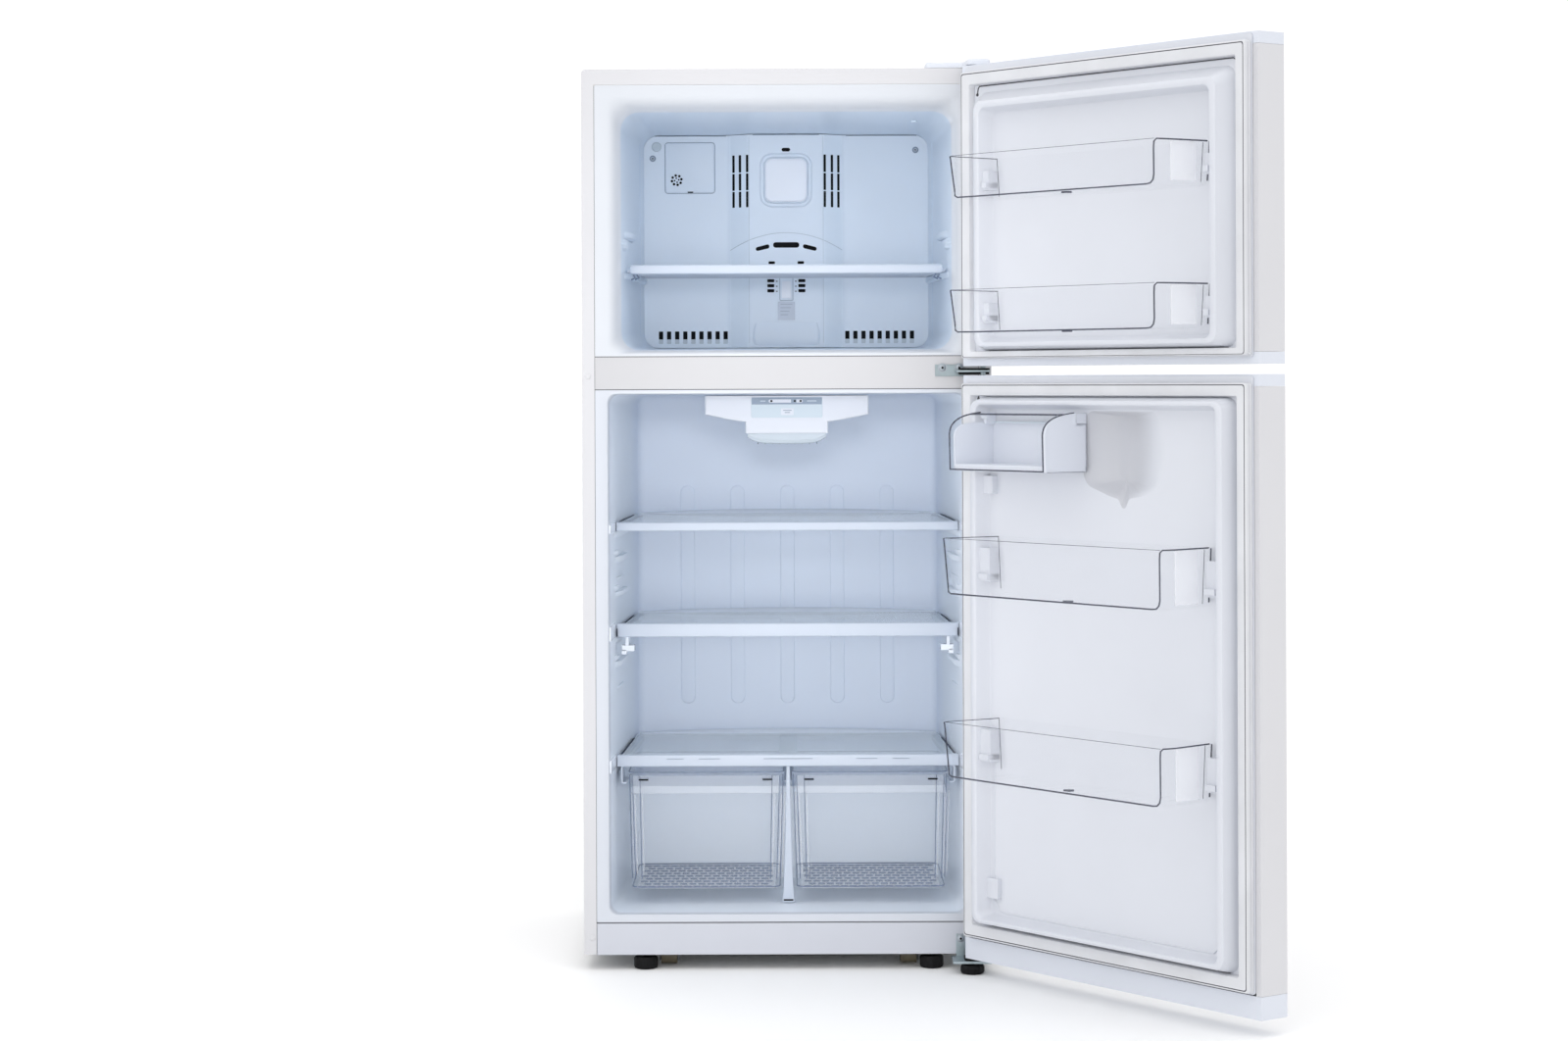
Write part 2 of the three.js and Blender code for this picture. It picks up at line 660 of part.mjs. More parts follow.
function trapezoid(cavity, clear, [y0, y1]) {
  const a = wallAt(cavity, y0) - clear;
  const b = wallAt(cavity, y1) - clear;
  return [[-a, y0], [a, y0], [b, y1], [-b, y1]];
}

function freezerShelf() {
  const z = FREEZER_SHELF_Z;
  const plate = alongZ(trapezoid(FREEZER, 3, [SHELF_FRONT + 8, 480]), [z, z + 5]);
  const profile = [[SHELF_FRONT, z + 2], [SHELF_FRONT + 3, z - 3], [SHELF_FRONT + 14, z - 3],
    [SHELF_FRONT + 14, z + 13], [SHELF_FRONT + 4, z + 15], [SHELF_FRONT, z + 11]];
  const frontHalf = wallAt(FREEZER, SHELF_FRONT) - 10.5;
  const front = alongX(profile, [-frontHalf, frontHalf]);
  return join(plate, front);
}

// ---------- refrigerator ----------

const CONTROL_FRONT = 120;
const CONTROL_BACK = 300;

// the housing's front outline, `inset` smaller all round
function controlOutline(inset) {
  const lamp = 78 - inset;
  const side = 154 - inset;
  return [
    [-side, 1056.5], [-side, 1020 + inset], [-lamp, 1007 + inset], [-lamp, 986 + inset],
    [lamp, 986 + inset], [lamp, 1007 + inset], [side, 1020 + inset], [side, 1056.5],
  ];
}

function controlHousing() {
  const wall = 2.5;
  const body = alongY(controlOutline(0), [CONTROL_FRONT, CONTROL_BACK]);
  const hollow = alongY(controlOutline(wall).map(([x, z]) => [x, z > 1050 ? z + 3 : z]),
    [CONTROL_FRONT + 8, CONTROL_BACK - wall]);
  const window = block([-72, 72], [CONTROL_FRONT + 10, CONTROL_BACK - 10], [980, 992]);
  const panel = block([-67, 67], [CONTROL_FRONT - 1, CONTROL_FRONT + 1.5], [1015, 1053]);
  const slot = block([-34, 30], [CONTROL_FRONT - 1, CONTROL_FRONT + 6], [1042, 1049]);
  return cut(body, hollow, window, panel, slot);
}

const controlSlider = () => join(
  block([9, 17], [CONTROL_FRONT + 0.5, CONTROL_FRONT + 5], [1042.5, 1048.5]),
  block([8, 18], [CONTROL_FRONT - 2, CONTROL_FRONT + 0.8], [1041, 1050]),
);

function lampCover() {
  const outline = new THREE.Shape();
  outline.moveTo(-74, 985.7);
  outline.lineTo(-74, 976);
  outline.quadraticCurveTo(-70, 966, -52, 965.5);
  outline.lineTo(52, 965.5);
  outline.quadraticCurveTo(70, 966, 74, 976);
  outline.lineTo(74, 985.7);
  const body = alongY(outline, [CONTROL_FRONT + 4, CONTROL_BACK - 8]);
  return cut(body, block([-70, 70], [CONTROL_FRONT + 7, CONTROL_BACK - 11], [970, 990]));
}

// a shelf frame: a front trim `frontHeight` tall, low side rails and a raised rear bar
function shelfFrame(z, frontHeight) {
  const rail = 11;
  const trim = 20;
  const clear = 3;
  const outline = toShape(trapezoid(FRIDGE, clear, [SHELF_FRONT, SHELF_BACK]));
  const opening = trapezoid(FRIDGE, clear + 14, [SHELF_FRONT + trim, SHELF_BACK - trim]);
  outline.holes.push(new THREE.Path(opening.map(([x, y]) => new THREE.Vector2(x, y))));
  const rails = alongZ(outline, [z, z + rail]);
  const frontPlan = trapezoid(FRIDGE, clear, [SHELF_FRONT, SHELF_FRONT + trim]);
  const front = alongZ(frontPlan, [z, z + frontHeight]);
  const rearPlan = trapezoid(FRIDGE, clear + 4, [SHELF_BACK - trim, SHELF_BACK]);
  const rear = alongZ(rearPlan, [z, z + rail + 12]);
  return join(rails, front, rear);
}

const SHELF_GLASS_LIFT = 11 + GAP;

function shelfGlass(z) {
  const plan = trapezoid(FRIDGE, 4.5, [SHELF_FRONT + 20 + GAP, SHELF_BACK - 20 - GAP]);
  return alongZ(plan, [z + SHELF_GLASS_LIFT, z + SHELF_GLASS_LIFT + 4]);
}

// the middle shelf also carries hooks at its two front corners
function middleShelfFrame() {
  const hooks = pair([288, 312], [122, 150], [570, MIDDLE_SHELF_Z + 4]);
  const notches = pair([288 - 1, 300], [121, 151], [582, 596]);
  return join(shelfFrame(MIDDLE_SHELF_Z, 26), cut(join(hooks), notches));
}

function crisperCoverFrame() {
  const z = CRISPER_COVER_Z;
  const railEnd = 205;
  const outerRails = pair([311, 314], [SHELF_FRONT + 5, railEnd], [330, z + 2]);
  const outerLips = pair([303.5, 312], [SHELF_FRONT + 5, railEnd], [328, 331]);
  const beam = block([-14, 14], [SHELF_FRONT + 10, SHELF_BACK - 10], [z, z + 9]);
  const web = block([-2.5, 2.5], [SHELF_FRONT + 5, 430], [328, z + 2]);
  const lip = block([-7.5, 7.5], [SHELF_FRONT + 22, 430], [328, 331]);
  const postOutline = [[-12, 104], [12, 104], [3, z + 1], [-3, z + 1]];
  const post = alongY(postOutline, [SHELF_FRONT + 4, SHELF_FRONT + 16]);
  return join(shelfFrame(z, 23), outerRails, outerLips, beam, web, lip, post);
}

// side is +1 for the drawer on the right
function crisper(side) {
  const plan = ([x0, x1], [y0, y1]) => {
    const corners = rectangle([x0, x1], [y0, y1]);
    return side > 0 ? corners : corners.map(([x, y]) => [-x, y]).reverse();
  };
  const wall = 2.5;
  const floor = CRISPER_FLOOR;
  const rim = CRISPER_RIM;
  const rings = [
    flatRing(plan([22, 287], [115, 402]), 14, floor),
    flatRing(plan([16, 293], [109, 407]), 20, floor + 5),
    flatRing(plan([14, 295], [106, 411]), 22, floor + 22),
    flatRing(plan([8.5, 299], [103, 440]), 18, rim),
    flatRing(plan([8.5 + wall, 299 - wall], [103 + wall, 440 - wall]), 16, rim),
    flatRing(plan([14 + wall, 295 - wall], [106 + wall, 411 - wall]), 19, floor + 22),
    flatRing(plan([22, 287], [115, 402]), 14, floor + wall),
  ];
  const body = loft(rings);
  const bandX = side > 0 ? [16, 292] : [-292, -16];
  const band = block(bandX, [97, 104.5], [312, 350]);
  const scoop = block([bandX[0] + 3, bandX[1] - 3], [96, 101], [310, 340]);
  const outerX = side > 0 ? [297, 308] : [-308, -297];
  const innerX = side > 0 ? [5.5, 11] : [-11, -5.5];
  const lips = [block(outerX, [150, 400], [332, 335]), block(innerX, [150, 400], [332, 335])];
  return join(body, cut(band, scoop), lips);
}

// ---------- hinges ----------

function topHinge() {
  const plate = block([262, 370], [8, 60], [CASE_TOP + GAP, CASE_TOP + 3.3]);
  const arm = block([346, 370], [-60, 10], [CASE_TOP + GAP, CASE_TOP + 3.3]);
  const pin = bar('z', PIN_RADIUS, [CASE_TOP - 19, CASE_TOP + 2], [HINGE_X, HINGE_Y]);
  const screws = [280, 330].map((x) => bar('z', 6, [CASE_TOP + 3, CASE_TOP + 7], [x, 34], 12));
  return join(plate, arm, pin, screws);
}

function topHingeCover() {
  const low = CASE_TOP + GAP;
  const plan = (inset) => rectangle([256 + inset, 376 - inset], [-66 + inset, 68 - inset]);
  const shell = loft([
    flatRing(plan(0), 10, low), flatRing(plan(0), 10, low + 8), flatRing(plan(5), 8, low + 13),
  ]);
  const hollow = loft([
    flatRing(plan(3), 7, low - 1), flatRing(plan(3), 7, low + 6), flatRing(plan(8), 6, low + 10.5),
  ]);
  return cut(shell, hollow);
}

const MIDDLE_ARM = [1099, 1103];

function middleHinge() {
  const plate = block([273.5, 327], [-3.3, -GAP], [1092, 1113.4]);
  const arm = block([310, 371], [-62, -GAP], MIDDLE_ARM);
  const pin = bar('z', PIN_RADIUS, [1078, 1126], [HINGE_X, HINGE_Y]);
  const screws = [287, 318].map((x) => bar('y', 5.5, [-6, -3], [x, 1107.5], 12));
  return join(plate, arm, pin, screws);
}

const BOTTOM_ARM = [19, 23.5];

function bottomHinge() {
  const plate = block([308.5, 325.5], [-3.3, -GAP], [19, 64]);
  const arm = block([300, 371], [-62, -GAP], BOTTOM_ARM);
  const pin = bar('z', PIN_RADIUS, [20, 46], [HINGE_X, HINGE_Y]);
  const screw = bar('y', 5.5, [-6, -3], [317, 56], 12);
  const hole = bar('z', STUD_HOLE, [15, 30], [HINGE_FOOT_X, HINGE_Y]);
  return cut(join(plate, arm, pin, screw), hole);
}

// ---------- doors ----------

function doorSkin(door) {
  const returnWidth = 12;
  const shape = new THREE.Shape();
  const bend = 6;
  shape.moveTo(-HALF + returnWidth, DOOR_INNER_Y);
  shape.lineTo(-HALF, DOOR_INNER_Y);
  shape.lineTo(-HALF, DOOR_OUTER_Y + bend);
  shape.absarc(-HALF + bend, DOOR_OUTER_Y + bend, bend, Math.PI, 1.5 * Math.PI, false);
  shape.lineTo(HALF - bend, DOOR_OUTER_Y);
  shape.absarc(HALF - bend, DOOR_OUTER_Y + bend, bend, 1.5 * Math.PI, 2 * Math.PI, false);
  shape.lineTo(HALF, DOOR_INNER_Y);
  shape.lineTo(HALF - returnWidth, DOOR_INNER_Y);
  shape.lineTo(HALF - returnWidth, DOOR_INNER_Y - SHEET);
  shape.lineTo(HALF - SHEET, DOOR_INNER_Y - SHEET);
  const innerBend = bend - SHEET;
  shape.lineTo(HALF - SHEET, DOOR_OUTER_Y + bend);
  shape.absarc(HALF - bend, DOOR_OUTER_Y + bend, innerBend, 0, -Math.PI / 2, true);
  shape.lineTo(-HALF + bend, DOOR_OUTER_Y + SHEET);
  shape.absarc(-HALF + bend, DOOR_OUTER_Y + bend, innerBend, 1.5 * Math.PI, Math.PI, true);
  shape.lineTo(-HALF + SHEET, DOOR_INNER_Y - SHEET);
  shape.lineTo(-HALF + returnWidth, DOOR_INNER_Y - SHEET);
  return alongZ(shape, [door.low + door.bottomCap + GAP, door.high - door.topCap - GAP], 4);
}

function doorFoam(door) {
  const edge = HALF - SHEET - GAP;
  const front = DOOR_OUTER_Y + SHEET + GAP;
  const back = DOOR_INNER_Y - SHEET - GAP;
  const plan = [
    [-edge, back], [-edge, front + 6], [-edge + 6, front], [edge - 6, front],
    [edge, front + 6], [edge, back],
  ];
  return alongZ(plan, [door.low + door.bottomCap + GAP, door.high - door.topCap - GAP]);
}

// the liner's plate with a raised dike all round, and bosses beside the bins
function doorLiner(door, bosses) {
  const wall = LINER_WALL;
  const front = PANEL_Y + wall;
  const crest = 13;
  const foot = HALF - 48;
  const { low, high, side, bottom, top } = door.dike;
  // a ring on the dike; `at` turns an edge's [lean, width] into a distance in from its foot
  const ring = (at, radius, y) => {
    const size = { half: foot - at(side), low: low + at(bottom), high: high - at(top), radius };
    return frontRing(size, y);
  };
  const edge = { half: HALF - 12, low: door.gasketLow - 3, high: door.high - 3, radius: 6 };
  const shell = loft([
    ring(([, width]) => width, 10, front),
    ring(([, width]) => width - 6, 14, crest),
    ring(([, width]) => width - 9, 16, crest + 2),
    ring(([lean]) => lean + 3, 18, crest + 2),
    ring(([lean]) => lean, 20, crest),
    ring(() => 0, 22, front),
    frontRing(edge, front),
    frontRing(edge, PANEL_Y),
    ring(() => wall, 20, PANEL_Y),
    ring(([lean]) => lean + wall, 18, crest - wall),
    ring(([, width]) => width - 6 - wall, 16, crest - wall),
    ring(([, width]) => width - wall, 12, PANEL_Y),
  ]);
  const blocks = bosses.flatMap(([z0, z1]) => pair([277, foot - side[1] + 4], [front - 1, 6], [z0, z1]));
  return join(shell, blocks);
}

function gasket(door) {
  const [y0, y1] = [PANEL_Y + LINER_WALL + GAP, -0.6];
  const outer = { half: GASKET_OUTER, low: door.gasketLow, high: door.gasketHigh, radius: 4 };
  const width = GASKET_OUTER - GASKET_INNER;
  const hole = {
    half: GASKET_INNER,
    low: Math.min(outer.low + width, door.dike.low - 1),
    high: Math.max(outer.high - width, door.dike.high + 1),
    radius: 3,
  };
  const corners = ({ half, low, high, radius }) =>
    rounded(rectangle([-half, half], [low, high]), radius, 2);
  return cut(alongY(corners(outer), [y0, y1]), alongY(corners(hole), [y0 - 1, y1 + 1]));
}

const GRIP = { x: [-345, -205], y: [-74, -40], depth: 15 };
const CAP_WALL = 3;

// the end moulding of a door; `end` is 'top' or 'bottom'
function endCap(door, end) {
  const height = end === 'top' ? door.topCap : door.bottomCap;
  const face = end === 'top' ? door.high : door.low;
  const inward = end === 'top' ? -1 : 1;
  const span = (from, to) => [face + inward * from, face + inward * to].sort((a, b) => a - b);
  const bend = 6;
  const outline = rounded(rectangle([-HALF, HALF], [DOOR_OUTER_Y, DOOR_INNER_Y]), [bend, bend, 1, 1], 3);
  const body = alongZ(outline, span(0, height));
  const hollow = block([-HALF + CAP_WALL, HALF - CAP_WALL],
    [DOOR_OUTER_Y + CAP_WALL, DOOR_INNER_Y - CAP_WALL], span(CAP_WALL, height + 1));
  const boss = bar('z', SOCKET_RADIUS + 4, span(1, 19), [HINGE_X, HINGE_Y], 16);
  const socket = bar('z', SOCKET_RADIUS, span(-1, 17.5), [HINGE_X, HINGE_Y], 16);
  const parts = [cut(body, hollow), boss];
  const tools = [socket];
  if (door.grips === end) {
    const wider = ([a, b]) => [a - CAP_WALL, b + CAP_WALL];
    parts.push(block(wider(GRIP.x), wider(GRIP.y), span(1, GRIP.depth + CAP_WALL)));
    tools.push(block(GRIP.x, GRIP.y, span(-1, GRIP.depth)));
  }
  return cut(join(parts), tools);
}

// a clear bin that hangs between the door liner's bosses
function doorBin([half, front], low, high) {
  const wall = 2.5;
  const back = PANEL_Y + LINER_WALL + 0.6;
  const plan = (inset, drop) => [
    [-272 + inset + drop, back + inset], [272 - inset - drop, back + inset],
    [half - inset - drop, front - inset - drop], [-half + inset + drop, front - inset - drop],
  ];
  const radii = (r) => [r, r, 5, 5];
  return loft([
    flatRing(plan(8, 6), radii(14), low),
    flatRing(plan(0, 6), radii(20), low + 8),
    flatRing(plan(0, 0), radii(24), high),
    flatRing(plan(wall, 0), radii(22), high),
    flatRing(plan(wall, 6), radii(18), low + 8),
    flatRing(plan(8, 6), radii(14), low + wall),
  ]);
}

const DAIRY = { x: [35.5, 292.5], low: 923, high: 1026, front: 85, hingeY: 20, hingeZ: 1019 };

function dairyHousing() {
  const { x, low, front } = DAIRY;
  const back = PANEL_Y + LINER_WALL + 0.6;
  const side = new THREE.Shape();
  side.moveTo(back, low);
  side.lineTo(front - 6, low);
  side.lineTo(front - 4, 985);
  side.quadraticCurveTo(front - 12, 1006, 34, 1009);
  side.lineTo(back, 1009);
  const walls = [[x[0] + 4, x[0] + 7], [x[1] - 7, x[1] - 4]].map((span) => alongX(side, span, 5));
  const base = block([x[0] + 4, x[1] - 4], [back, front - 6], [low, low + 12]);
  const rear = block([x[0] + 4, x[1] - 4], [back, back + 3], [low, 1009]);
  const ears = [[x[0] + 4, x[0] + 12], [x[1] - 12, x[1] - 4]].map((span) =>
    block(span, [back, back + 24], [1005, DAIRY.high]));
  return join(walls, base, rear, ears);
}

function dairyLid() {
  const { x, low, high, front, hingeY, hingeZ } = DAIRY;
  const lid = new THREE.Shape();
  lid.moveTo(front, low + 2);
  lid.lineTo(front + 1.5, 988);
  lid.bezierCurveTo(front, 1012, front - 24, 1022, hingeY - 6, high);
  lid.lineTo(hingeY - 6, high - 12);
  lid.bezierCurveTo(front - 27, 1014, front - 4, 1008, front - 1.5, 988);
  lid.lineTo(front - 2.5, low + 2);
  const shell = alongX(lid, x, 6);
  const knuckles = [[x[0] + 13, x[0] + 30], [x[1] - 30, x[1] - 13]].map((span) =>
    bar('x', 4, span, [hingeY, hingeZ], 10));
  return join(shell, knuckles);
}

// ---------- assembly ----------

function add(parent, name, solid, material, anchor = [0, 0]) {
  const mesh = new THREE.Mesh(toGeometry(solid), material);
  mesh.name = name;
  mesh.position.set(-anchor[0], -anchor[1], 0);
  parent.add(mesh);
}

const cabinet = new THREE.Group();
add(cabinet, 'outer_case', outerCase(), whiteSteel);
add(cabinet, 'back_panel', backPanel(), galvanised);
add(cabinet, 'cabinet_insulation', insulation(), foam);
add(cabinet, 'freezer_liner', freezerLiner(), linerPlastic);
add(cabinet, 'fridge_liner', fridgeLiner(), linerPlastic);
add(cabinet, 'mullion_cover', mullionCover(), whiteSteel);
add(cabinet, 'base_pan', basePan(), galvanised);
add(cabinet, 'base_grille', baseGrille(), whitePlastic);
add(cabinet, 'levelling_foot_left', levellingFoot(-FOOT_X, FOOT_Y, 22), blackPlastic);
add(cabinet, 'levelling_foot_right', levellingFoot(FOOT_X, FOOT_Y, 22), blackPlastic);
add(cabinet, 'hinge_foot', hingeFoot(), blackPlastic);
add(cabinet, 'front_roller_left', frontRoller(-1), brownPlastic);
add(cabinet, 'front_roller_right', frontRoller(1), brownPlastic);
add(cabinet, 'rear_rollers', rearRollers(), blackPlastic);
add(cabinet, 'machine_room_cover', machineRoomCover(), galvanised);
add(cabinet, 'compressor', compressor(), blackSteel);
add(cabinet, 'condenser_coil', condenser(), blackSteel);
add(cabinet, 'condenser_fan_motor', condenserFanMotor(), galvanised);
add(cabinet, 'condenser_fan', condenserFan(), blackPlastic);
add(cabinet, 'evaporator', evaporator(), aluminium);
add(cabinet, 'evaporator_fan_motor', evaporatorFanMotor(), galvanised);
add(cabinet, 'evaporator_fan', evaporatorFan(), blackPlastic);
add(cabinet, 'evaporator_cover', evaporatorCover(), linerPlastic);
add(cabinet, 'air_outlet_cover', airOutletCover(), whitePlastic);
add(cabinet, 'access_cover', accessCover(), linerPlastic);
add(cabinet, 'freezer_slider', freezerSlider(), whitePlastic);
add(cabinet, 'freezer_shelf', freezerShelf(), clearPlastic);
add(cabinet, 'control_housing', controlHousing(), whitePlastic);
add(cabinet, 'control_slider', controlSlider(), panelGrey);
add(cabinet, 'lamp_cover', lampCover(), clearPlastic);
add(cabinet, 'upper_shelf_frame', shelfFrame(UPPER_SHELF_Z, 17), whitePlastic);
add(cabinet, 'upper_shelf_glass', shelfGlass(UPPER_SHELF_Z), glass);
add(cabinet, 'middle_shelf_frame', middleShelfFrame(), whitePlastic);
add(cabinet, 'middle_shelf_glass', shelfGlass(MIDDLE_SHELF_Z), glass);
add(cabinet, 'crisper_cover_frame', crisperCoverFrame(), whitePlastic);
add(cabinet, 'crisper_cover_glass', shelfGlass(CRISPER_COVER_Z), glass);
add(cabinet, 'crisper_left', crisper(-1), clearPlastic);
add(cabinet, 'crisper_right', crisper(1), clearPlastic);
add(cabinet, 'top_hinge', topHinge(), zinc);
add(cabinet, 'top_hinge_cover', topHingeCover(), whitePlastic);
add(cabinet, 'middle_hinge', middleHinge(), zinc);
add(cabinet, 'bottom_hinge', bottomHinge(), zinc);

const FREEZER_BINS = [['upper_door_bin_top', 1406, 1483], ['upper_door_bin_bottom', 1167, 1245]];
const FRIDGE_BINS = [['lower_door_bin_middle', 702, 804], ['lower_door_bin_bottom', 377, 477]];
const FREEZER_BIN_FRONT = [267, 108]; // half width and depth of each bin's front corners
const FRIDGE_BIN_FRONT = [283, 113];

function doorGroup(prefix, door, bins, binFront) {
  const group = new THREE.Group();
  group.position.set(HINGE_X, HINGE_Y, 0);
  group.rotation.z = THREE.MathUtils.degToRad(DOOR_ANGLE);
  const anchor = [HINGE_X, HINGE_Y];
  const bosses = bins.map(([, low, high]) => [low + 20, high - 22]);
  add(group, `${prefix}_skin`, doorSkin(door), whiteSteel, anchor);
  add(group, `${prefix}_liner`, doorLiner(door, bosses), doorPlastic, anchor);
  add(group, `${prefix}_foam`, doorFoam(door), foam, anchor);
  add(group, `${prefix}_gasket`, gasket(door), gasketRubber, anchor);
  add(group, `${prefix}_top_cap`, endCap(door, 'top'), whitePlastic, anchor);
  add(group, `${prefix}_bottom_cap`, endCap(door, 'bottom'), whitePlastic, anchor);
  bins.forEach(([name, low, high]) => {
    add(group, name, doorBin(binFront, low, high), clearPlastic, anchor);
  });
  return group;
}

const upperDoor = doorGroup('upper_door', UPPER_DOOR, FREEZER_BINS, FREEZER_BIN_FRONT);
const lowerDoor = doorGroup('lower_door', LOWER_DOOR, FRIDGE_BINS, FRIDGE_BIN_FRONT);
add(lowerDoor, 'dairy_housing', dairyHousing(), whitePlastic, [HINGE_X, HINGE_Y]);
add(lowerDoor, 'dairy_lid', dairyLid(), clearPlastic, [HINGE_X, HINGE_Y]);

// the open doors reach furthest at their free edge, so the base's middle follows from there
const angle = THREE.MathUtils.degToRad(DOOR_ANGLE);
const reach = (x, y) => [
  HINGE_X + (x - HINGE_X) * Math.cos(angle) - (y - HINGE_Y) * Math.sin(angle),
  HINGE_Y + (x - HINGE_X) * Math.sin(angle) + (y - HINGE_Y) * Math.cos(angle),
];
const [farX] = reach(-HALF, DOOR_OUTER_Y);
const [, farY] = reach(-HALF, DOOR_INNER_Y);
const refrigerator = new THREE.Group();
refrigerator.name = 'top_freezer_refrigerator';
refrigerator.position.set(-(farX - HALF) / 2, -(farY + CASE_DEPTH) / 2, 0);
refrigerator.add(cabinet, upperDoor, lowerDoor);
refrigerator.updateMatrixWorld(true);

export default refrigerator;
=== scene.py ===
import json
import math

import bmesh
import bpy
from mathutils import Matrix, Vector

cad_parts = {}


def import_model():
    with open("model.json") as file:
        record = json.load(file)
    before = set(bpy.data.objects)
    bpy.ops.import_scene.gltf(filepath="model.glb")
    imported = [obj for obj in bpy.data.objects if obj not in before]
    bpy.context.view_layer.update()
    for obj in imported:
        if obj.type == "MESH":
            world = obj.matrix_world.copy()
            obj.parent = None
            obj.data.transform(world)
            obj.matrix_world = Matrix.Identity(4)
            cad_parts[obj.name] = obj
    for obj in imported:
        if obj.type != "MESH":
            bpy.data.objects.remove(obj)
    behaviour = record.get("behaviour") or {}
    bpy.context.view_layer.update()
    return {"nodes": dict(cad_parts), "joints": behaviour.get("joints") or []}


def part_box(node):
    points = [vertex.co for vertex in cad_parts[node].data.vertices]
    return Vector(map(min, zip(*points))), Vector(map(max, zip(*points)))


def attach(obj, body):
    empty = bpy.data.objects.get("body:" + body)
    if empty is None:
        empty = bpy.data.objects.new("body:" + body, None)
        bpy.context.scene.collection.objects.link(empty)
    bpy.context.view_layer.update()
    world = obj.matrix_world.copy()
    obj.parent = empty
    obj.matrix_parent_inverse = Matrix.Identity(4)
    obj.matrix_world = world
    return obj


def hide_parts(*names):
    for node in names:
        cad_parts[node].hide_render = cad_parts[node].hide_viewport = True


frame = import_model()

# ---------- places ----------
# Shapes are drawn in millimetres: x from the cabinet's centre line, y back from the front
# flange, z up from the floor. Door pieces are drawn shut and then swung open.

MM = 0.001
case_low, case_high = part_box("outer_case")
ORIGIN = Vector(((case_low.x + case_high.x) / 2, case_low.y, 0))
HINGE = Vector(next(j["pos_m"] for j in frame["joints"] if j["name"] == "upper_door_hinge"))
DOOR_ANGLE = math.radians(127)
SWING = (
    Matrix.Translation(HINGE)
    @ Matrix.Rotation(DOOR_ANGLE, 4, "Z")
    @ Matrix.Translation(-HINGE)
)


def cabinet(x, y, z):
    return ORIGIN + Vector((x, y, z)) * MM


def door(x, y, z):
    return SWING @ cabinet(x, y, z)


# ---------- outlines ----------

def rounded(corners, radius, steps=8):
    """A convex polygon with rounded corners, as a list of (u, v) points."""
    points = []
    count = len(corners)
    for i, corner in enumerate(corners):
        r = radius[i] if isinstance(radius, (list, tuple)) else radius
        here = Vector(corner)
        if r <= 0:
            points.append((here.x, here.y))
            continue
        before = (Vector(corners[i - 1]) - here).normalized()
        after = (Vector(corners[(i + 1) % count]) - here).normalized()
        half = math.acos(max(-1, min(1, before.dot(after)))) / 2
        centre = here + (before + after).normalized() * (r / math.sin(half))
        start = here + before * (r / math.tan(half)) - centre
        end = here + after * (r / math.tan(half)) - centre
        turn = start.angle_signed(end)
        for k in range(steps + 1):
            a = -turn * k / steps
            u = start.x * math.cos(a) - start.y * math.sin(a)
            v = start.x * math.sin(a) + start.y * math.cos(a)
            points.append((centre.x + u, centre.y + v))
    return points


def rectangle(u, v):
    return [(u[0], v[0]), (u[1], v[0]), (u[1], v[1]), (u[0], v[1])]


def front_ring(half, low, high, radius, y, steps=8):
    """A rounded rectangle standing in XZ."""
    loop = rounded(rectangle((-half, half), (low, high)), radius, steps)
    return [(x, y, z) for x, z in loop]


def flat_ring(corners, radius, z, steps=8):
    return [(x, y, z) for x, y in rounded(corners, radius, steps)]


def circle(radius, sides):
    turns = [2 * math.pi * k / sides for k in range(sides)]
    return [(radius * math.cos(a), radius * math.sin(a)) for a in turns]


def mix(a, b, t):
    return a + (b - a) * t


# where (u, v) across an axis and w along it lie in x, y and z
ALONG = {
    "x": lambda u, v, w: (w, u, v),
    "y": lambda u, v, w: (u, w, v),
    "z": lambda u, v, w: (u, v, w),
}


# ---------- mesh building ----------

